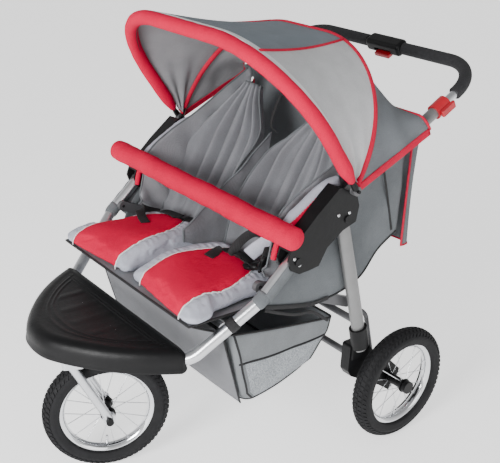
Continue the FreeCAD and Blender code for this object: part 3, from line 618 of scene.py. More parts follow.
thicken(rear_cover, CLOTH_THICK, 1.0, 1)


def blend_rear(piece):
    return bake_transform(piece)


carry(front_cover, blend_front, "canopy_front_cover")
carry(rear_cover, blend_rear, "canopy_rear_cover")
TRIM = 0.0032
for label, column, side in (("left", SEAM_COLUMNS[0], LEFT), ("right", SEAM_COLUMNS[1], RIGHT)):
    seam = carry(tube(f"canopy_seam_{label}", front_rows[1:, column] + (0, 0, 0.001), TRIM, [RED_TRIM], sides=8),
                 blend_front)
MID_TRIM_ARCH = (0.346, 0.012, 0.324, 0.28)
bow_run = np.linspace(0, 1, 121) * arch_length(*MID_TRIM_ARCH)
bow_path = [in_bow(MID_TILT, *arch_at(*MID_TRIM_ARCH, min(run, bow_run[-1]))) for run in bow_run]
carry(tube("canopy_mid_trim", bow_path, 0.0068, [RED_TRIM], sides=14), "canopy_mid")
hem_path = np.vstack([rear_rows[:, 0], rear_rows[-1, 1:], rear_rows[-2::-1, -1]])
rear_hem = carry(tube("canopy_rear_hem", hem_path, 0.0036, [RED_TRIM], sides=8), blend_rear)
for label, side in SIDES.items():
    foot_line = rear_rows[:, 0 if side == LEFT else -1] + (side * 0.0015, 0, -0.006)
    band = carry(ribbon(f"canopy_tube_band_{label}", foot_line, (0, -0.5, 0.87), 0.017, 0.0022, [RED_TRIM]),
                 blend_rear)
for label, side in SIDES.items():
    edge = front_rows[:, 0 if side == LEFT else -1]
    foot = carry(tube(f"canopy_foot_trim_{label}", edge, 0.003, [RED_TRIM], sides=8), blend_front)

# The padded sleeve on the front bow is thinner at its ends and has a seam along its inner side.
PADDING = 0.0172
pad_count = 150
pad_arch = {"half": FRONT_HALF, "low": 0.026, "high": 0.400, "corner": 0.24}
pad_total = arch_length(**pad_arch)
pad_path, pad_round, inner_path = [], [], []
for number in range(pad_count + 1):
    run = pad_total * number / pad_count
    x, up = arch_at(**pad_arch, run=run)
    ends = min(run, pad_total - run)
    slim = 0.5 + 0.5 * float(ramp01(ends, 0, 0.05))
    bulge = 1 + 0.025 * math.sin(run * 41) + 0.02 * math.sin(run * 97 + 1)
    closing = min(1.0, 0.35 + ends / 0.006)
    r = min(PADDING, PADDING * slim * bulge) * closing
    pad_path.append(in_bow(FRONT_TILT, x, up))
    pad_round.append(r)
    inner = (Vector((0, pad_path[-1].y, pad_path[-1].z)) - pad_path[-1]).normalized()
    down = (CANOPY_PIVOT - in_bow(FRONT_TILT, 0, 0.3)).normalized()
    toward = (down + inner * min(1, abs(x) / 0.2)).normalized()
    inner_path.append(pad_path[-1] + toward * (r - 0.0004))
bow_pad = carry(tube("canopy_bow_sleeve", pad_path, pad_round, [RED], sides=24),
                "canopy_front", "canopy_bow_padding")
carry(tube("canopy_sleeve_seam", inner_path, 0.0014, [WEBBING], sides=6), "canopy_front")

# ---------------------------------------------------------------- bumper bar
BUMPER_AXIS = at(0, -0.420, 0.662)
BUMPER_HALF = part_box("bumper_bar")[1].x
BUMPER_ROUND = 0.0278
bumper_path, bumper_round = [], []
for x in np.linspace(-1, 1, 161):
    place = x * BUMPER_HALF
    ends = BUMPER_HALF - abs(place)
    dome = math.sqrt(max(0, 1 - (1 - min(1, ends / 0.016)) ** 2))
    bulge = 0.965 + 0.022 * math.sin(place * 52) + 0.013 * math.sin(place * 131 + 2)
    bumper_path.append(BUMPER_AXIS + Vector((place, 0.0012 * math.sin(place * 20), 0)))
    bumper_round.append(max(0.0006, BUMPER_ROUND * bulge * (0.3 + 0.7 * dome) * min(1, dome + 0.02)))
bumper = carry(tube("bumper_sleeve", bumper_path, bumper_round, [RED], sides=32), "bumper")
seam_angle = math.radians(-60)
seam_path = []
for point, r in zip(bumper_path[4:-4], bumper_round[4:-4]):
    seam_path.append(point + Vector((0, math.cos(seam_angle), math.sin(seam_angle))) * (r - 0.0003))
carry(tube("bumper_seam", seam_path, 0.0013, [RED_TRIM], sides=6), "bumper")
pegs = []
peg_run = Vector((0, 0.691, -0.723))
for label, side in SIDES.items():
    start = BUMPER_AXIS + Vector((side * 0.320, 0, 0)) + peg_run * 0.020
    peg = tube(f"bumper_peg_{label}", [start + peg_run * t for t in (0, 0.004, 0.008, 0.0175)],
               [0.0125, 0.0125, 0.009, 0.009], [PLASTIC], sides=20)
    pegs.append(peg)
peg_pair = join("bumper_pegs", pegs)
carry(peg_pair, "bumper")
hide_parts("bumper_bar")

# ---------------------------------------------------------------- seat cushions
CUSHION_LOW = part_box("seat_cushion_left")[0].z
CUSHION_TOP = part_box("seat_cushion_left")[1].z
SEAT_MID = 0.150
CUSHION_FRONT, CUSHION_BACK = -0.640, -0.358


def two_tone(pad):
    """Gives a remeshed pad its two cloths back."""
    pad.data.materials.clear()
    for each in (LILAC, RED):
        pad.data.materials.append(each)


def cushion_edges(y):
    """The inner and outer edge of the left cushion at a place along the seat."""
    reach = np.clip((y - CUSHION_FRONT) / 0.030, 0, 1)
    front = 1 - np.sqrt(1 - (1 - reach) ** 2)
    outer = 0.291 - 0.020 * ramp01(y, -0.58, -0.54) - 0.010 * ramp01(y, -0.54, -0.44) - 0.026 * front
    inner = 0.006 + 0.024 * front
    return inner, outer


def panel_edges(y):
    """The two edges of the red centre panel at a place along the seat."""
    closing = np.clip((np.asarray(y) + 0.56) / 0.2, 0, 1)
    half = 0.094 * np.sqrt(1 - closing ** 2.4)
    return SEAT_MID - half, SEAT_MID + half - 0.004


def set_back(u, v):
    """How far the front edge falls back towards the middle of the stroller."""
    return 0.022 * (1 - u) ** 1.5 * max(0, 1 - v / 0.5)


def cushion(label, side):
    rows = []
    long, wide = 30, 26
    for i in range(long + 1):
        v = i / long
        y = CUSHION_FRONT + (CUSHION_BACK - CUSHION_FRONT) * v ** 1.25
        inner, outer = cushion_edges(y)
        front_drop = 0.036 * (1 - min(1, v / 0.5)) ** 2
        back_drop = 0.006 * float(ramp01(v, 0.9, 1))
        ring = []
        for j in range(wide + 1):
            u = j / wide
            crown = (4 * u * (1 - u)) ** 0.42
            high = CUSHION_LOW + 0.016 + (CUSHION_TOP - CUSHION_LOW - 0.018) * crown - front_drop * crown - back_drop
            high += 0.022 * crown * math.exp(-(u / 0.34) ** 2) * float(ramp01(v, 0.1, 0.6))
            ring.append(at(side * (inner + (outer - inner) * u), y + set_back(u, v), high))
        for j in range(wide, -1, -1):
            u = j / wide
            ring.append(at(side * (inner + 0.003 + (outer - inner - 0.006) * u), y + set_back(u, v),
                           CUSHION_LOW + 0.001))
        rows.append(ring)
    pad = grid(f"seat_pad_{label}", rows, [LILAC, RED], around=True, caps=True)
    puff(pad, 0.005, 4, 0.010)
    two_tone(pad)
    points = coords(pad)
    across, along = points[:, 0] * side, points[:, 1] - AXLE.y
    low_x, high_x = panel_edges(along)
    upper = ramp01(points[:, 2], CUSHION_LOW + 0.004, CUSHION_LOW + 0.016)
    groove = np.exp(-((across - low_x) / 0.009) ** 2) + np.exp(-((across - high_x) / 0.009) ** 2)
    groove = np.minimum(groove, 1) * (along < -0.365)
    outside = np.maximum(low_x - across, across - high_x)
    gather = np.sin(along * 290 + across * 60 + 2 * np.sin(along * 60)) + 0.6 * np.sin(along * 451 - across * 95 + 2)
    pucker = np.exp(-np.clip(outside, 0, None) / 0.02) * (outside > 0) * gather
    wave = 0.0016 * np.sin(across * 31 + along * 19) * np.sin(along * 27 - across * 9)
    points[:, 2] += upper * (-0.0050 * groove + 0.0011 * pucker + wave)
    points[:, 2] = np.clip(points[:, 2], CUSHION_LOW, CUSHION_TOP + 0.030)
    set_coords(pad, points)
    picks = []
    for face in pad.data.polygons:
        spot = points[list(face.vertices)].mean(0)
        edges = panel_edges(spot[1] - AXLE.y)
        picks.append(int(edges[0] < spot[0] * side < edges[1] and spot[2] > CUSHION_LOW + 0.001))
    pad.data.polygons.foreach_set("material_index", picks)
    inside, outer_side = set(), set()
    for face, pick in zip(pad.data.polygons, picks):
        (inside if pick else outer_side).update(face.vertices)
    for index in inside & outer_side:
        if points[index, 2] > CUSHION_LOW + 0.012 and points[index, 1] - AXLE.y > CUSHION_FRONT + 0.004:
            edges = panel_edges(points[index, 1] - AXLE.y)
            near = min(edges, key=lambda edge: abs(edge - points[index, 0] * side))
            points[index, 0] = side * near
    set_coords(pad, points)
    carry(pad, "front_frame", f"seat_cushion_{label}")
    tree = BVHTree.FromPolygons([tuple(p) for p in points], [tuple(f.vertices) for f in pad.data.polygons])
    for number, edge_name in enumerate(("inner", "outer")):
        line = []
        for y in np.linspace(CUSHION_FRONT - 0.004, -0.3602, 90):
            x = side * panel_edges(y)[number]
            hit = tree.ray_cast(at(x, y, 0.7), Vector((0, 0, -1)))[0]
            if hit:
                line.append(hit + Vector((0, 0, 0.0004)))
        nose = line[0]
        line = [nose + Vector((0, -0.001, -0.010)), nose + Vector((0, -0.0012, -0.005))] + line
        carry(tube(f"seat_piping_{label}_{edge_name}", line, 0.0019, [PALE], sides=8),
              "front_frame")
    return tree


cushion_trees = {label: cushion(label, side) for label, side in SIDES.items()}


# ---------------------------------------------------------------- seat backs
RECLINE = at(0, -0.342, 0.492)
BACK_TILT = math.radians(61.6)
BACK_UP = Vector((0, math.cos(BACK_TILT), math.sin(BACK_TILT)))
BACK_OUT = Vector((0, -math.sin(BACK_TILT), math.cos(BACK_TILT)))
BACK_LONG = 0.420


def back_point(side, u, s):
    """A point of a seat back: u runs from the inner edge (-1) to the outer edge (1), s from foot to top."""
    taper = float(ramp01(s, 0.62, 1.05))
    inner = 0.022 + 0.008 * s + 0.095 * taper
    outer = 0.264 + 0.006 * math.sin(math.pi * s) - 0.085 * taper
    x = inner + (outer - inner) * (u + 1) / 2
    fold_deep = 0.005 + 0.0100 * float(ramp01(s, 0.02, 0.4)) - 0.004 * float(ramp01(s, 0.85, 1))
    wander = 0.5 * math.sin(3.1 * s + 1.3 * u)
    turn = 16.5 * u + wander
    fold = math.sin(turn) + 0.3 * math.sin(2 * turn + 0.7) + 0.3 * math.sin(27 * u + 2.2 * s + 1.0)
    curl = 0.046 * abs(u) ** 7 * math.sin(math.pi * min(1, 0.12 + s / 0.85))
    hollow = 0.010 * (1 - u * u) * math.sin(math.pi * s)
    deep = -0.011 + fold_deep * fold * (1 - 0.5 * abs(u) ** 6) + curl - hollow
    along = 0.006 + (BACK_LONG - 0.006) * s
    return RECLINE + BACK_UP * along + BACK_OUT * deep + Vector((side * x, 0, 0))


def seat_back(label, side):
    rows = [[back_point(side, u, s) for u in np.linspace(-1, 1, 81)] for s in np.linspace(0, 1, 49)]
    back = grid(f"seat_back_sheet_{label}", rows, [SEAT_GREY])
    thicken(back, 0.002)
    carry(back, f"seat_back_{label}", f"seat_back_{label}")
    rim = [back_point(side, u, s) for u, s in
           [(-1, s) for s in np.linspace(0.02, 1, 40)] + [(u, 1) for u in np.linspace(-1, 1, 24)]
           + [(1, s) for s in np.linspace(1, 0.02, 40)]]
    carry(tube(f"seat_back_binding_{label}", rim, 0.0022, [GREY], sides=8),
          f"seat_back_{label}")


for label, side in SIDES.items():
    seat_back(label, side)

# ---------------------------------------------------------------- fabric walls
def wall(name, lower, upper, across, materials, columns=64, rows=26, pick=None):
    """A sheet between two lines of (y, z) points; across gives its x from (share up, share along)."""
    low = smooth_path([at(0, y, z) for y, z in lower], columns + 1)
    high = smooth_path([at(0, y, z) for y, z in upper], columns + 1)
    grid_rows = []
    for i in range(rows + 1):
        share = i / rows
        row = low * (1 - share) + high * share
        for j in range(columns + 1):
            row[j, 0] = across(share, j / columns)
        grid_rows.append(row)
    return grid(name, grid_rows, materials, pick), np.array(grid_rows)


def edge_of(rows, sides="lt r"):
    """The points round a sheet's named edges, in order: l(eft), t(op), r(ight)."""
    parts = []
    if "l" in sides:
        parts.append(rows[:, 0])
    if "t" in sides:
        parts.append(rows[-1, 1:-1] if "l" in sides else rows[-1])
    if "r" in sides:
        parts.append(rows[::-1, -1])
    return np.vstack(parts)


def blend_side(piece):
    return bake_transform(piece)


wing_lower = [(-0.415, 0.535), (-0.268, 0.482), (-0.150, 0.690), (-0.050, 0.812)]
wing_upper = [(-0.412, 0.560), (-0.396, 0.640), (-0.380, 0.684), (-0.315, 0.728), (-0.232, 0.768), (-0.140, 0.824),
              (-0.055, 0.874)]
# The wings wear the lighter, painted-light copy of the seat cloth, not a cloth of their own.
for label, side in SIDES.items():
    wing, rows = wall(f"seat_wing_{label}", wing_lower, wing_upper,
                      lambda up, along: side * (0.2690 - 0.0060 * math.sin(math.pi * up)
                                                * (1 + 0.9 * math.sin(30 * along + 3 * up))), [PAINTED_LIT_SEAT_GREY])
    thicken(wing, 0.0018)
    carry(wing, blend_side)
    binding = carry(tube(f"seat_wing_binding_{label}", edge_of(rows, "lt"), 0.0022, [GREY], sides=8),
                    blend_side)

divider_lower = [(-0.452, 0.530), (-0.325, 0.500), (-0.200, 0.716)]
divider_upper = [(-0.458, 0.566), (-0.396, 0.604), (-0.330, 0.660), (-0.237, 0.735), (-0.186, 0.772)]
divider, rows = wall("seat_divider_sheet", divider_lower, divider_upper,
                     lambda up, along: (0.004 * math.sin(9 * along + 2 * up) + 0.0015 * math.sin(23 * along)) * up,
                     [SEAT_GREY])
thicken(divider, 0.0024)
carry(divider, blend_side)
divider_binding = carry(tube("seat_divider_binding", edge_of(rows, "lt"), 0.0026, [GREY], sides=8),
                        blend_side)
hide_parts("seat_side_panels")


def bolster(label, side):
    """A padded roll along the top of each seat's outer wall, lilac above and red below."""
    outline = smooth_path([at(0, y, z) for y, z in (
        (-0.232, 0.752), (-0.270, 0.744), (-0.310, 0.722), (-0.356, 0.694), (-0.388, 0.668),
        (-0.384, 0.648), (-0.360, 0.648), (-0.310, 0.668), (-0.262, 0.694), (-0.230, 0.724),
        (-0.232, 0.752))], 57)[:-1]
    centre = outline.mean(0)
    rows = []
    for x, share in ((0.300, 0.80), (0.300, 0.93), (0.296, 1.0), (0.288, 1.0), (0.280, 0.96),
                     (0.275, 0.80), (0.274, 0.42), (0.274, 0.15)):
        ring = centre + (outline - centre) * share
        ring[:, 0] = side * x
        rows.append(ring)
    pad = grid(f"seat_bolster_{label}", rows, [LILAC, RED], around=True, caps=True)
    puff(pad, 0.005, 4, 0.006)
    two_tone(pad)
    points = coords(pad)
    y, z = points[:, 1] - AXLE.y, points[:, 2]
    inner = ramp01(0.286 - np.abs(points[:, 0]), 0, 0.008)
    points[:, 0] += side * inner * 0.0009 * np.sin(190 * (y * 0.5 + z * 0.85) + 4 * np.sin(30 * y))
    set_coords(pad, points)
    picks = []
    for face in pad.data.polygons:
        spot = points[list(face.vertices)].mean(0)
        along, up = spot[1] - AXLE.y, spot[2]
        picks.append(int(up < 0.672 + 0.65 * (along + 0.372) and along < -0.285))
    pad.data.polygons.foreach_set("material_index", picks)
    carry(pad, blend_side)
    edge = smooth_path([at(side * x, y, z) for x, y, z in (
        (0.286, -0.262, 0.716), (0.287, -0.300, 0.700), (0.289, -0.350, 0.682), (0.289, -0.376, 0.666),
        (0.288, -0.392, 0.640), (0.288, -0.404, 0.610), (0.287, -0.409, 0.584))], 60)
    swell = [0.0062 + 0.0012 * math.sin(9 * t) for t in np.linspace(0, 1, 60)]
    roll = carry(tube(f"seat_wing_red_edge_{label}", edge, swell, [RED], sides=14), blend_side)


for label, side in SIDES.items():
    bolster(label, side)

# The side panels fill the space between front tube, bracket, leg and rear flap.
gusset_lower = [(-0.442, 0.481), (-0.360, 0.460), (-0.287, 0.448), (-0.201, 0.457), (-0.138, 0.482),
                (-0.089, 0.539), (-0.029, 0.577)]
gusset_upper = [(-0.425, 0.530), (-0.370, 0.590), (-0.300, 0.650), (-0.206, 0.706), (-0.140, 0.756),
                (-0.080, 0.792), (-0.018, 0.826)]


def gusset_x(up, along):
    shift = 0.2965 + 0.0062 * (1 - float(ramp01(up, 0.42, 0.72)))
    ripple = 0.0012 * math.sin(15 * along + 4 * up) + 0.001 * math.sin(31 * along - 5 * up)
    return shift - 0.0015 * math.sin(math.pi * up) * float(ramp01(up, 0.4, 0.7)) + ripple * math.sin(math.pi * up)


for label, side in SIDES.items():
    gusset, rows = wall(f"side_gusset_sheet_{label}", gusset_lower, gusset_upper,
                        lambda up, along: side * gusset_x(up, along), [GREY])
    thicken(gusset, CLOTH_THICK)
    carry(gusset, blend_side)
    hem = carry(tube(f"side_gusset_hem_{label}", rows[0], 0.003, [WEBBING], sides=8), blend_side)
    seam_line = smooth_path([at(side * 0.3052, y, z) for y, z in
                             ((-0.105, 0.768), (-0.080, 0.690), (-0.060, 0.625), (-0.047, 0.583))], 24)
    seam = carry(ribbon(f"side_gusset_strap_{label}", seam_line, (0, 1, 0.25), 0.006, 0.0016, [WEBBING]),
                 blend_side)
    if label == "left":
        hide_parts("side_gussets")

# The side panel's front edge is sewn round the back of the front tube, and a cloth loop and a black band hold it.
TUBE_TOP, TUBE_BEND, TUBE_LOW = at(0.320, -0.374, 0.600), at(0.320, -0.470, 0.508), at(0.264, -0.612, 0.379)
UPPER_RUN = (TUBE_BEND - TUBE_TOP).normalized()
ABOVE = Vector((0, UPPER_RUN.z, -UPPER_RUN.y))
TUBE_ROUND = 0.014


def mirrored_path(points, side):
    return [Vector((side * p.x, p.y, p.z)) for p in points]


def sleeve_section(centre, swell):
    """The sewn-on cloth's line round the tube's outer and rear side, and back to the side panel."""
    points = []
    for angle in np.radians(np.linspace(40, -95, 19)):
        r = TUBE_ROUND + 0.0013 + swell
        points.append(centre + Vector((r * math.cos(angle), 0, 0)) + ABOVE * (r * math.sin(angle)))
    last = points[-1]
    for x, back in ((0.3165, 0.006), (0.3125, 0.013), (0.3090, 0.021), (0.3065, 0.030)):
        points.append(Vector((x, 0, 0)) + Vector((0, last.y, last.z)) - ABOVE * back)
    return points


band_parts = []
for label, side in SIDES.items():
    sleeve_rows = []
    for share in np.linspace(0.12, 0.86, 25):
        centre = TUBE_TOP + (TUBE_BEND - TUBE_TOP) * share
        swell = 0.0006 * (1 + math.sin(22 * share))
        sleeve_rows.append(mirrored_path(sleeve_section(centre, swell), side))
    sleeve = grid(f"side_gusset_sleeve_{label}", sleeve_rows, [GREY])
    thicken(sleeve, 0.0014)
    carry(sleeve, "front_frame")
    loop_path = [TUBE_TOP.lerp(TUBE_BEND, share) for share in (0.83, 0.87, 0.91, 0.95)]
    loop_path += [TUBE_BEND.lerp(TUBE_LOW, share) for share in (0.01, 0.045)]
    loop_size = [TUBE_ROUND + extra for extra in (0.0012, 0.0030, 0.0024, 0.0031, 0.0028, 0.0012)]
    band_parts.append(tube(f"front_tube_loop_{label}", mirrored_path(loop_path, side), loop_size, [GREY], sides=28))
    low_path = [TUBE_BEND.lerp(TUBE_LOW, share) for share in (0.33, 0.345, 0.39, 0.43, 0.445)]
    low_size = [TUBE_ROUND + extra for extra in (0.0006, 0.0022, 0.0025, 0.0022, 0.0006)]
    band_parts.append(tube(f"front_tube_band_{label}", mirrored_path(low_path, side), low_size, [WEBBING], sides=28))
tube_bands = join("front_tube_bands", band_parts)
carry(tube_bands, "front_frame", "tube_collars")

# ---------------------------------------------------------------- rear flap
FLAP_LOW, FLAP_HIGH = 0.532, 0.872
flap_rows = []
for i in range(31):
    up = i / 30
    z = FLAP_LOW + (FLAP_HIGH - FLAP_LOW) * up
    back = 0.024 - 0.009 * math.sin(math.pi * up) + 0.006 * up
    seam_y = -0.006 - 0.004 * up
    plan = [(0.3055, seam_y), (0.3055, seam_y + 0.012), (0.303, back - 0.006), (0.297, back), (0.285, back + 0.001)]
    spread = [(x, back + 0.001) for x in np.linspace(0.27, -0.27, 61)]
    plan = plan + spread + [(-x, y) for x, y in reversed(plan)]
    row = []
    for x, y in plan:
        inside = float(ramp01(0.303 - abs(x), 0, 0.05))
        fold = 0.005 * math.sin(21 * x + 1.2 * up) + 0.0025 * math.sin(53 * x + 2 * up)
        hang = (1 - up) * 0.6 + 0.4
        lean = 0.040 * float(ramp01(up, 0.88, 1))
        row.append(at(x, y - lean + inside * fold * hang - 0.004 * inside * math.sin(math.pi * up), z))
    flap_rows.append(row)
flap = grid("rear_flap_sheet", flap_rows, [GREY])
flap_rows = np.array(flap_rows)
thicken(flap, CLOTH_THICK)
carry(flap, "handle_frame", "rear_flap")
FLAP_HEM_ROWS = 26
flap_edge = np.vstack([flap_rows[FLAP_HEM_ROWS::-1, 0], flap_rows[0, 1:-1], flap_rows[:FLAP_HEM_ROWS + 1, -1]])
flap_hem = carry(tube("rear_flap_hem", flap_edge, 0.0028, [RED_TRIM], sides=8), "handle_frame")

# ---------------------------------------------------------------- basket
BASKET_FRONT = [(0.421, -0.517), (0.358, -0.499), (0.290, -0.484), (0.245, -0.473), (0.222, -0.455)]
BASKET_REAR = [(0.377, -0.200), (0.345, -0.207), (0.319, -0.222), (0.282, -0.246), (0.270, -0.266)]
CORNER_COUNT, SIDE_COUNT, FRONT_COUNT = 8, 34, 44


def basket_ring(front, rear, half, corner, sag):
    """A closed, round-cornered loop through a front and a rear (z, y), drooping by sag between corners."""
    (zf, yf), (zr, yr) = front, rear
    plan = []
    turns = ((1, 1, 0), (-1, 1, 90), (-1, -1, 180), (1, -1, 270))
    for sx, sy, first in turns:
        cx, cy = sx * (half - corner), (yr - corner) if sy > 0 else (yf + corner)
        for step in range(CORNER_COUNT + 1):
            turn = math.radians(first + 90 * step / CORNER_COUNT)
            plan.append((cx + corner * math.cos(turn), cy + corner * math.sin(turn)))
        count = FRONT_COUNT if (sx, sy) in ((1, 1), (-1, -1)) else SIDE_COUNT
        nx, ny = {(1, 1): (-1, 1), (-1, 1): (-1, -1), (-1, -1): (1, -1), (1, -1): (1, 1)}[(sx, sy)]
        a = plan[-1]
        if nx != sx:
            b = (-a[0], a[1])
        else:
            b = (a[0], (yr - corner) if ny > 0 else (yf + corner))
        for step in range(1, count):
            w = step / count
            plan.append((a[0] + (b[0] - a[0]) * w, a[1] + (b[1] - a[1]) * w))
    ring = []
    for x, y in plan:
        share = (y - yf) / (yr - yf)
        z = zf + (zr - zf) * share
        droop = sag * (math.sin(math.pi * min(1, max(0, share))) + 0.4 * (1 - (x / half) ** 2))
        ring.append((x, y, z - droop))
    return ring


basket_rows = []
levels = np.linspace(0, 1, 25)
for level in levels:
    k = level * (len(BASKET_FRONT) - 1)
    a, w = min(int(k), len(BASKET_FRONT) - 2), k - min(int(k), len(BASKET_FRONT) - 2)
    front = [BASKET_FRONT[a][n] * (1 - w) + BASKET_FRONT[a + 1][n] * w for n in (0, 1)]
    rear = [BASKET_REAR[a][n] * (1 - w) + BASKET_REAR[a + 1][n] * w for n in (0, 1)]
    belly = math.sin(math.pi * level)
    half = 0.2825 - 0.010 * level ** 2
    ring = basket_ring(front, rear, half, 0.012 + 0.012 * level, 0.003 + 0.007 * level)
    moved = []
    for x, y, z in ring:
        out = 0.0035 * belly * math.sin(24 * y + 5 * level) * abs(x / half) ** 6
        press = 0.0045 * belly * math.sin(19 * x + 3 * level)
        moved.append(at(x + math.copysign(out, x), y + press * (1 - abs(x / half) ** 8), z))
    basket_rows.append(moved)
last = np.array(basket_rows[-1])
bottom_mid = last.mean(0) + (0, 0, -0.016)
for share in (0.97, 0.92, 0.84, 0.7, 0.5, 0.25):
    ring = bottom_mid + (last - bottom_mid) * share
    ring[:, 2] = last[:, 2] * share + bottom_mid[2] * (1 - share)
    ring[:, 2] -= 0.016 * (1 - share) ** 0.5 * share + 0.004
    basket_rows.append(ring)
basket_rows = np.array([[tuple(p) for p in row] for row in basket_rows])
ring_size = basket_rows.shape[1]
basket_y = basket_rows[0, :, 1] - AXLE.y
basket_x = basket_rows[0, :, 0]


def basket_panel(i, j):
    on_side = abs(basket_x[j]) > 0.27 and -0.50 < basket_y[j] < -0.215
    return 1 if on_side and i >= 8 else 0


basket = grid("basket_sheet", basket_rows, [BASKET_GREY, NET], basket_panel, around=True, caps="last")


def squash_basket(piece):
    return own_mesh(piece)


thicken(basket, CLOTH_THICK)
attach(basket, "front_frame")
squash_basket(basket)
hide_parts("basket")


def basket_trim(name, path, round_size=0.0028, loop=False):
    trim = tube(name, path, round_size, [WEBBING], sides=8, loop=loop)
    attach(trim, "front_frame")
    squash_basket(trim)


basket_trim("basket_rim", basket_rows[0], loop=True)
basket_trim("basket_foot_binding", basket_rows[24], loop=True)
for label, side in SIDES.items():
    columns = [j for j in range(ring_size) if basket_x[j] * side > 0]
    front_column = min(columns, key=lambda j: abs(basket_y[j] + 0.507) + abs(basket_x[j] - side * 0.281) * 2)
    rear_column = min(columns, key=lambda j: abs(basket_y[j] + 0.207) + abs(basket_x[j] - side * 0.281) * 2)
    basket_trim(f"basket_front_binding_{label}", basket_rows[:25, front_column])
    basket_trim(f"basket_rear_binding_{label}", basket_rows[:25, rear_column])
    sides = sorted((j for j in columns if abs(basket_x[j]) > 0.268 and -0.512 < basket_y[j] < -0.202),
                   key=lambda j: basket_y[j])
    basket_trim(f"basket_band_{label}", basket_rows[8, sides], 0.0032)

# A plain panel closes the front below the seats, and the deck sags a little under the cushions.
apron_rows = []
for i in range(25):
    down = i / 24
    if down < 0.4:
        w = down / 0.4
        y, z = -0.624 + 0.093 * w, 0.474 - 0.044 * w
    else:
        w = (down - 0.4) / 0.6
        y, z = -0.531 + 0.062 * w, 0.430 - 0.209 * w
    half = 0.2785 - 0.008 * down
    row = []
    for x in np.linspace(half, -half, 71):
        wrinkle = 0.0022 * math.sin(23 * x + 2 * down) + 0.0012 * math.sin(41 * x - 5 * down + 1)
        hang = abs(math.sin(math.pi * down)) ** 0.5
        row.append(at(x, y - 0.006 * hang + wrinkle * hang, z - 0.004 * (1 - (x / half) ** 2)))
    apron_rows.append(row)
apron = grid("seat_front_apron", apron_rows, [APRON_GREY])
apron_rows = np.array(apron_rows)
thicken(apron, CLOTH_THICK)
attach(apron, "front_frame")
squash_basket(apron)
for label, column in (("left", 0), ("right", -1)):
    trim = tube(f"seat_front_apron_binding_{label}", apron_rows[:, column], 0.0022, [WEBBING], sides=8)
    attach(trim, "front_frame")
    squash_basket(trim)

deck_low, deck_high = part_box("seat_deck")
deck_rows = []
for y in np.linspace(deck_low.y - AXLE.y, deck_high.y - AXLE.y, 31):
    share = (y - (deck_low.y - AXLE.y)) / (deck_high.y - deck_low.y)
    row = []
    for x in np.linspace(deck_high.x, deck_low.x, 61):
        seat = abs(abs(x) - 0.15) / 0.13
        sag = 0.006 * max(0, 1 - seat ** 2) * math.sin(math.pi * share)
        row.append(at(x, y, deck_high.z - 0.0015 - sag))
    deck_rows.append(row)
deck = grid("seat_deck_sheet", deck_rows, [SEAT_GREY])
deck_rows = np.array(deck_rows)
thicken(deck, 0.002)
carry(deck, "front_frame", "seat_deck")
deck_edge = np.vstack([deck_rows[::-1, 0], deck_rows[0, 1:-1], deck_rows[:, -1]])
deck_binding = carry(tube("seat_deck_binding", deck_edge, 0.003, [WEBBING], sides=8), "front_frame")
STRAP_X = 0.3066
for label, side in SIDES.items():
    loose = smooth_path([at(side * STRAP_X, y, z) for y, z in (
        (-0.441, 0.473), (-0.399, 0.455), (-0.344, 0.435), (-0.294, 0.427), (-0.239, 0.389))], 48)
    strap = carry(ribbon(f"basket_strap_{label}", loose, (0, 0.3, 1), 0.008, 0.0016, [WEBBING]),
                  "front_frame")
    side_band = smooth_path([at(side * STRAP_X, y, z) for y, z in (
        (-0.441, 0.480), (-0.370, 0.463), (-0.299, 0.450), (-0.245, 0.452))], 40)
    band = carry(ribbon(f"seat_deck_side_band_{label}", side_band, (0, 0.2, 1), 0.011, 0.0016, [WEBBING]),
                 "front_frame")

# ---------------------------------------------------------------- harness
def buckle(name, place, along, up, length=0.046, width=0.034, thick=0.011):
    """A side-release buckle: a rounded frame, its two springy prongs, and webbing bars."""
    along, up = Vector(along).normalized(), Vector(up)
    up = (up - along * up.dot(along)).normalized()
    across = up.cross(along)
    place = Vector(place)

    def point(a, c, u):
        return place + along * a + across * c + up * u

    rows = []
    for u, grow in ((-0.5, 0.86), (-0.38, 0.97), (0, 1), (0.38, 0.97), (0.5, 0.86)):
        ring = []
        for turn in np.linspace(0, 2 * math.pi, 48, endpoint=False):
            c, s = math.cos(turn), math.sin(turn)
            a = math.copysign(abs(c) ** 0.45, c) * length / 2 * grow
            b = math.copysign(abs(s) ** 0.55, s) * width / 2 * grow * (1 - 0.16 * (a / length * 2) ** 2)
            ring.append(point(a, b, u * thick))
        rows.append(ring)
    body = grid(name + "_shell", rows, [PLASTIC], around=True, caps=True)
    parts = [body]
    for sign in (-1, 1):
        path = [point(-0.2 * length, sign * width * 0.46, 0), point(0, sign * width * 0.54, 0),
                point(0.2 * length, sign * width * 0.46, 0)]
        parts.append(tube(name + "_prong", smooth_path(path, 12), thick * 0.32, [PLASTIC], sides=10))
        bar_path = [point(sign * length * 0.56, -width * 0.44, 0), point(sign * length * 0.56, width * 0.44, 0)]
        parts.append(tube(name + "_bar", smooth_path(bar_path, 8), thick * 0.26, [PLASTIC], sides=10))
        parts.append(tube(name + "_rib", smooth_path([point(sign * length * 0.18, -width * 0.3, thick * 0.5),
                                                      point(sign * length * 0.18, width * 0.3, thick * 0.5)], 6),
                          thick * 0.09, [PLASTIC], sides=8))
    return join(name, parts)


def on_cushion(label, x, y, lift):
    """A point a little over a cushion."""
    hit = cushion_trees[label].ray_cast(at(x, y, 0.7), Vector((0, 0, -1)))[0]
    return Vector((x, AXLE.y + y, (hit.z if hit else CUSHION_TOP) + lift))


def strap(name, points, across, width=0.026):
    """A length of webbing through points, riding with the seats."""
    carry(ribbon(name, smooth_path(points, 40), across, width, 0.0024, [WEBBING]),
          "front_frame")


def spot(x, y, lift=0.002):
    return on_cushion("left" if x > 0 else "right", x, y, lift)


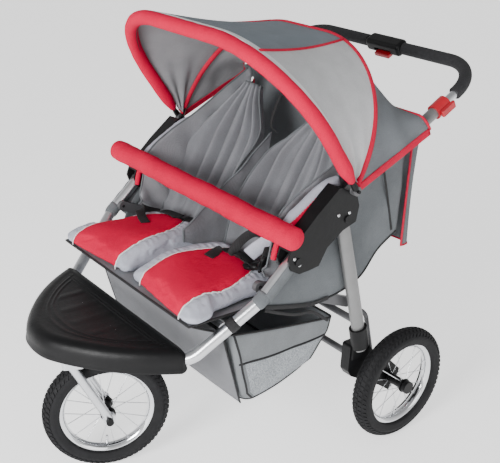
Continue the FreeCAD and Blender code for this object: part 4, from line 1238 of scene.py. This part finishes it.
# The left seat's harness lies over to its outer side, the right seat's to its middle.
strap("crotch_strap_left", [spot(0.116, -0.462), spot(0.110, -0.440, 0.003), spot(0.116, -0.412, 0.005),
                            spot(0.150, -0.396, 0.007), spot(0.196, -0.396, 0.008)], (0.2, 1, 0))
strap("waist_strap_left", [spot(0.222, -0.396, 0.008), at(0.246, -0.399, CUSHION_TOP + 0.022),
                           at(0.256, -0.402, CUSHION_TOP + 0.050), at(0.262, -0.400, CUSHION_TOP + 0.078)],
      (0.1, 1, 0.1), 0.030)
strap("shoulder_strap_left", [spot(0.212, -0.404, 0.012), at(0.190, -0.428, CUSHION_TOP + 0.030),
                              at(0.176, -0.437, CUSHION_TOP + 0.040), at(0.184, -0.424, CUSHION_TOP + 0.066),
                              at(0.196, -0.403, CUSHION_TOP + 0.086), at(0.216, -0.390, CUSHION_TOP + 0.090),
                              at(0.244, -0.360, CUSHION_TOP + 0.094)], (0.45, 0.6, -0.5), 0.022)
pad_path = smooth_path([at(0.206, -0.412, CUSHION_TOP + 0.040), at(0.222, -0.402, CUSHION_TOP + 0.060),
                        at(0.246, -0.384, CUSHION_TOP + 0.086)], 24)
shoulder_pad = carry(ribbon("shoulder_pad_left", pad_path, (0.5, 0.5, -0.6), 0.034, 0.009, [LILAC]),
                     "front_frame")
strap("waist_strap_right", [spot(-0.147, -0.470), spot(-0.176, -0.462, 0.005), spot(-0.212, -0.446, 0.012),
                            spot(-0.238, -0.422, 0.014), spot(-0.243, -0.396, 0.010), spot(-0.228, -0.374, 0.004)],
      (0.6, -0.8, 0))
strap("shoulder_strap_right", [spot(-0.222, -0.376, 0.004), spot(-0.196, -0.380, 0.010),
                               spot(-0.170, -0.374, 0.012), spot(-0.140, -0.366, 0.006)], (0.1, 1, 0))
BUCKLES = (
    ("centre_left", spot(0.204, -0.396, 0.010), (1, 0.05, 0.3), 0.056, 0.042, 0.013),
    ("outer_left", at(0.250, -0.400, CUSHION_TOP + 0.034), (0.25, -0.05, 1), 0.040, 0.034, 0.011),
    ("centre_right", spot(-0.152, -0.368, 0.008), (1, 0.1, 0), 0.040, 0.030, 0.010),
    ("inner_right", spot(-0.104, -0.362, 0.008), (1, 0.5, 0), 0.030, 0.026, 0.009),
)
buckles = [buckle("buckle_" + name, place, along, (0, 0, 1) if abs(along[2]) < 0.9 else (-1, 0, 0.2),
                  length=length, width=width, thick=thick)
           for name, place, along, length, width, thick in BUCKLES]
harness = join("harness_buckle_set", buckles)
carry(harness, "front_frame", "harness_buckles")

# ---------------------------------------------------------------- footrest
FOOT_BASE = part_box("footrest_cover")[0].z
FOOT_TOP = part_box("footrest_cover")[1].z


def arc_through(a, b, c, count):
    """Points on the circle through three plan points, from the first to the last."""
    (ax, ay), (bx, by), (cx, cy) = a, b, c
    d = 2 * (ax * (by - cy) + bx * (cy - ay) + cx * (ay - by))
    ux = ((ax * ax + ay * ay) * (by - cy) + (bx * bx + by * by) * (cy - ay) + (cx * cx + cy * cy) * (ay - by)) / d
    uy = ((ax * ax + ay * ay) * (cx - bx) + (bx * bx + by * by) * (ax - cx) + (cx * cx + cy * cy) * (bx - ax)) / d
    first, last = math.atan2(ay - uy, ax - ux), math.atan2(cy - uy, cx - ux)
    if abs(last - first) > math.pi:
        last += math.copysign(2 * math.pi, first - last)
    r = math.hypot(ax - ux, ay - uy)
    return [(ux + r * math.cos(t), uy + r * math.sin(t)) for t in np.linspace(first, last, count)]


half_line = [(0.0, -0.613), (0.08, -0.6125), (0.16, -0.6125), (0.235, -0.6125), (0.256, -0.6155), (0.267, -0.624)]
half_line += arc_through((0.270, -0.636), (0.190, -0.748), (0.064, -0.846), 26)
half_line += [(0.050, -0.8525), (0.034, -0.857), (0.017, -0.8592), (0.0, -0.860)]
plan = np.array([(x, y, 0) for x, y in half_line] + [(-x, y, 0) for x, y in reversed(half_line[1:-1])])
plan = np.vstack([plan, plan[:1]])
steps = np.concatenate([[0], np.cumsum(np.linalg.norm(np.diff(plan, axis=0), axis=1))])
marks = np.linspace(0, steps[-1], 161)[:-1]
plan = np.stack([np.interp(marks, steps, plan[:, k]) for k in range(3)], axis=1)
run = unit(np.roll(plan, -1, axis=0) - np.roll(plan, 1, axis=0))
inward = np.stack([run[:, 1], -run[:, 0], run[:, 2]], axis=1)
if (inward * (plan - plan.mean(0))).sum() > 0:
    inward = -inward
spine = np.stack([np.clip(plan[:, 0], -0.10, 0.10), np.full(len(plan), -0.700), np.zeros(len(plan))], axis=1)
profile = [(0.0000, 0.000), (-0.0018, 0.004), (0.0006, 0.009), (0.0002, 0.022), (0.0018, 0.034), (0.0062, 0.043),
           (0.0125, 0.0488), (0.021, 0.0515), (0.028, 0.0522)]
foot_rows = []
for inset, rise in profile:
    ring = plan + inward * inset
    foot_rows.append([at(x, y, FOOT_BASE + rise * (FOOT_TOP - FOOT_BASE) / 0.052) for x, y, _ in ring])
start_ring = plan + inward * 0.028
for share in np.linspace(0.06, 1, 34):
    ring = start_ring * (1 - share) + spine * share
    rise = 0.0522 - 0.0016 * share
    rise += 0.0016 * math.exp(-((share - 0.22) / 0.025) ** 2) + 0.0016 * math.exp(-((share - 0.36) / 0.025) ** 2)
    ridge = [0.0011 * max(0, math.sin(95 * x)) ** 2 * float(ramp01(share, 0.45, 0.52)) for x, _, _ in ring]
    foot_rows.append([at(x, y, FOOT_BASE + (rise - 0.0012) * (FOOT_TOP - FOOT_BASE) / 0.052 + r)
                      for (x, y, _), r in zip(ring, ridge)])
footrest = grid("footrest_shell", foot_rows, [PLASTIC], around=True)
inner_rows = [[at(x, y, FOOT_BASE + 0.001) for x, y, _ in plan],
              [at(x, y, FOOT_BASE + 0.001) for x, y, _ in plan + inward * 0.004],
              [at(x, y, FOOT_TOP - 0.012) for x, y, _ in plan + inward * 0.007]]
lining = grid("footrest_inside", inner_rows, [PLASTIC], around=True)
footrest = join("footrest_shell", [footrest, lining])
carry(footrest, "front_frame", "footrest_cover")

# ---------------------------------------------------------------- small hardware
def dome(name, centre, out, round_size, high, materials, body, slot):
    """A low round rivet or cap."""
    profile = [(round_size, 0), (round_size, high * 0.35), (round_size * 0.86, high * 0.75),
               (round_size * 0.5, high * 0.96), (0.00005, high)]
    made = lathe(name, profile, centre, out, materials, steps=28, closed=False)
    carry(made, body)
    return made


BRACKET_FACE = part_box("side_bracket_left")[1].x
for label, side in SIDES.items():
    face = side * (BRACKET_FACE - 0.0002)
    for number, (y, z) in enumerate(((-0.269, 0.678), (-0.236, 0.678), (-0.393, 0.600), (-0.377, 0.582))):
        dome(f"bracket_rivet_{label}_{number + 1}", at(face, y, z), (side, 0, 0), 0.0042, 0.0022, [STEEL],
             "handle_frame", "steel")
    for bow, tilt, half, thick, body in (("front", FRONT_TILT, FRONT_HALF, 0.0062, "canopy_front"),
                                         ("mid", MID_TILT, MID_HALF, 0.0046, "canopy_mid")):
        path = [in_bow(tilt, side * half, up) for up in (0.006, 0.014, 0.024, 0.034, 0.0425)]
        socket = tube(f"canopy_{bow}_socket_{label}", path, [thick * k for k in (1.25, 1.3, 1.1, 1.0, 0.96)],
                      [PLASTIC], sides=16)
        carry(socket, body)
strap_top = in_bow(MID_TILT, -0.030, 0.316)
centre_strap = ribbon("seat_centre_strap",
                      smooth_path([strap_top, strap_top + Vector((0, 0.006, -0.05)),
                                   at(-0.026, -0.170, 0.800), at(-0.018, -0.160, 0.764)], 30),
                      (1, 0, 0), 0.010, 0.0016, [WEBBING])
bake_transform(centre_strap)

# ---------------------------------------------------------------- camera, lights and floor
floor = grid("floor", [[(x, y, 0) for x in np.linspace(-9, 9, 5)] for y in np.linspace(-9, 9, 5)], [FLOOR])
CAMERA_PLACE = Vector((1.658, -1.2863, 1.401))
CAMERA_AZIMUTH, CAMERA_RISE, CAMERA_ROLL = (math.radians(a) for a in (50.607, 22.484, 3.005))
camera_data = bpy.data.cameras.new("camera")
camera_data.lens = 64.35
camera = bpy.data.objects.new("camera", camera_data)
bpy.context.scene.collection.objects.link(camera)
back_way = Vector((math.sin(CAMERA_AZIMUTH) * math.cos(CAMERA_RISE),
                   -math.cos(CAMERA_AZIMUTH) * math.cos(CAMERA_RISE), math.sin(CAMERA_RISE)))
right_way = Vector((math.cos(CAMERA_AZIMUTH), math.sin(CAMERA_AZIMUTH), 0))
up_way = back_way.cross(right_way)
right_turned = right_way * math.cos(CAMERA_ROLL) + up_way * math.sin(CAMERA_ROLL)
up_turned = up_way * math.cos(CAMERA_ROLL) - right_way * math.sin(CAMERA_ROLL)
turn = Matrix((right_turned, up_turned, back_way)).transposed().to_4x4()
camera.matrix_world = Matrix.Translation(CAMERA_PLACE) @ turn
bpy.context.scene.camera = camera

world = bpy.data.worlds.new("studio")
bpy.context.scene.world = world
world.use_nodes = True
sky = world.node_tree
way = add_node(sky.nodes, "SeparateXYZ")
sky.links.new(add_node(sky.nodes, "TexCoord").outputs["Generated"], way.inputs["Vector"])
dimming = add_node(sky.nodes, "MapRange", From_Min=0.05, From_Max=0.75, To_Min=1.1, To_Max=0.42)
sky.links.new(way.outputs["Z"], dimming.inputs["Value"])
sky.links.new(dimming.outputs["Result"], sky.nodes["Background"].inputs["Strength"])
sky.nodes["Background"].inputs["Color"].default_value = (1, 1, 1, 1)


def lamp(name, place, aim, wide, power):
    """A square soft light at a place, facing the aim."""
    data = bpy.data.lights.new(name, "AREA")
    data.size = wide
    data.energy = power
    light = bpy.data.objects.new(name, data)
    light.location = place
    light.rotation_mode = "QUATERNION"
    light.rotation_quaternion = (Vector(aim) - Vector(place)).to_track_quat("-Z", "Y")
    bpy.context.scene.collection.objects.link(light)


lamp("key", (1.2, -3.4, 1.7), (0, 0, 0.5), 1.3, 170)
lamp("fill", (3.4, -0.2, 1.4), (0, 0, 0.5), 2.0, 22)
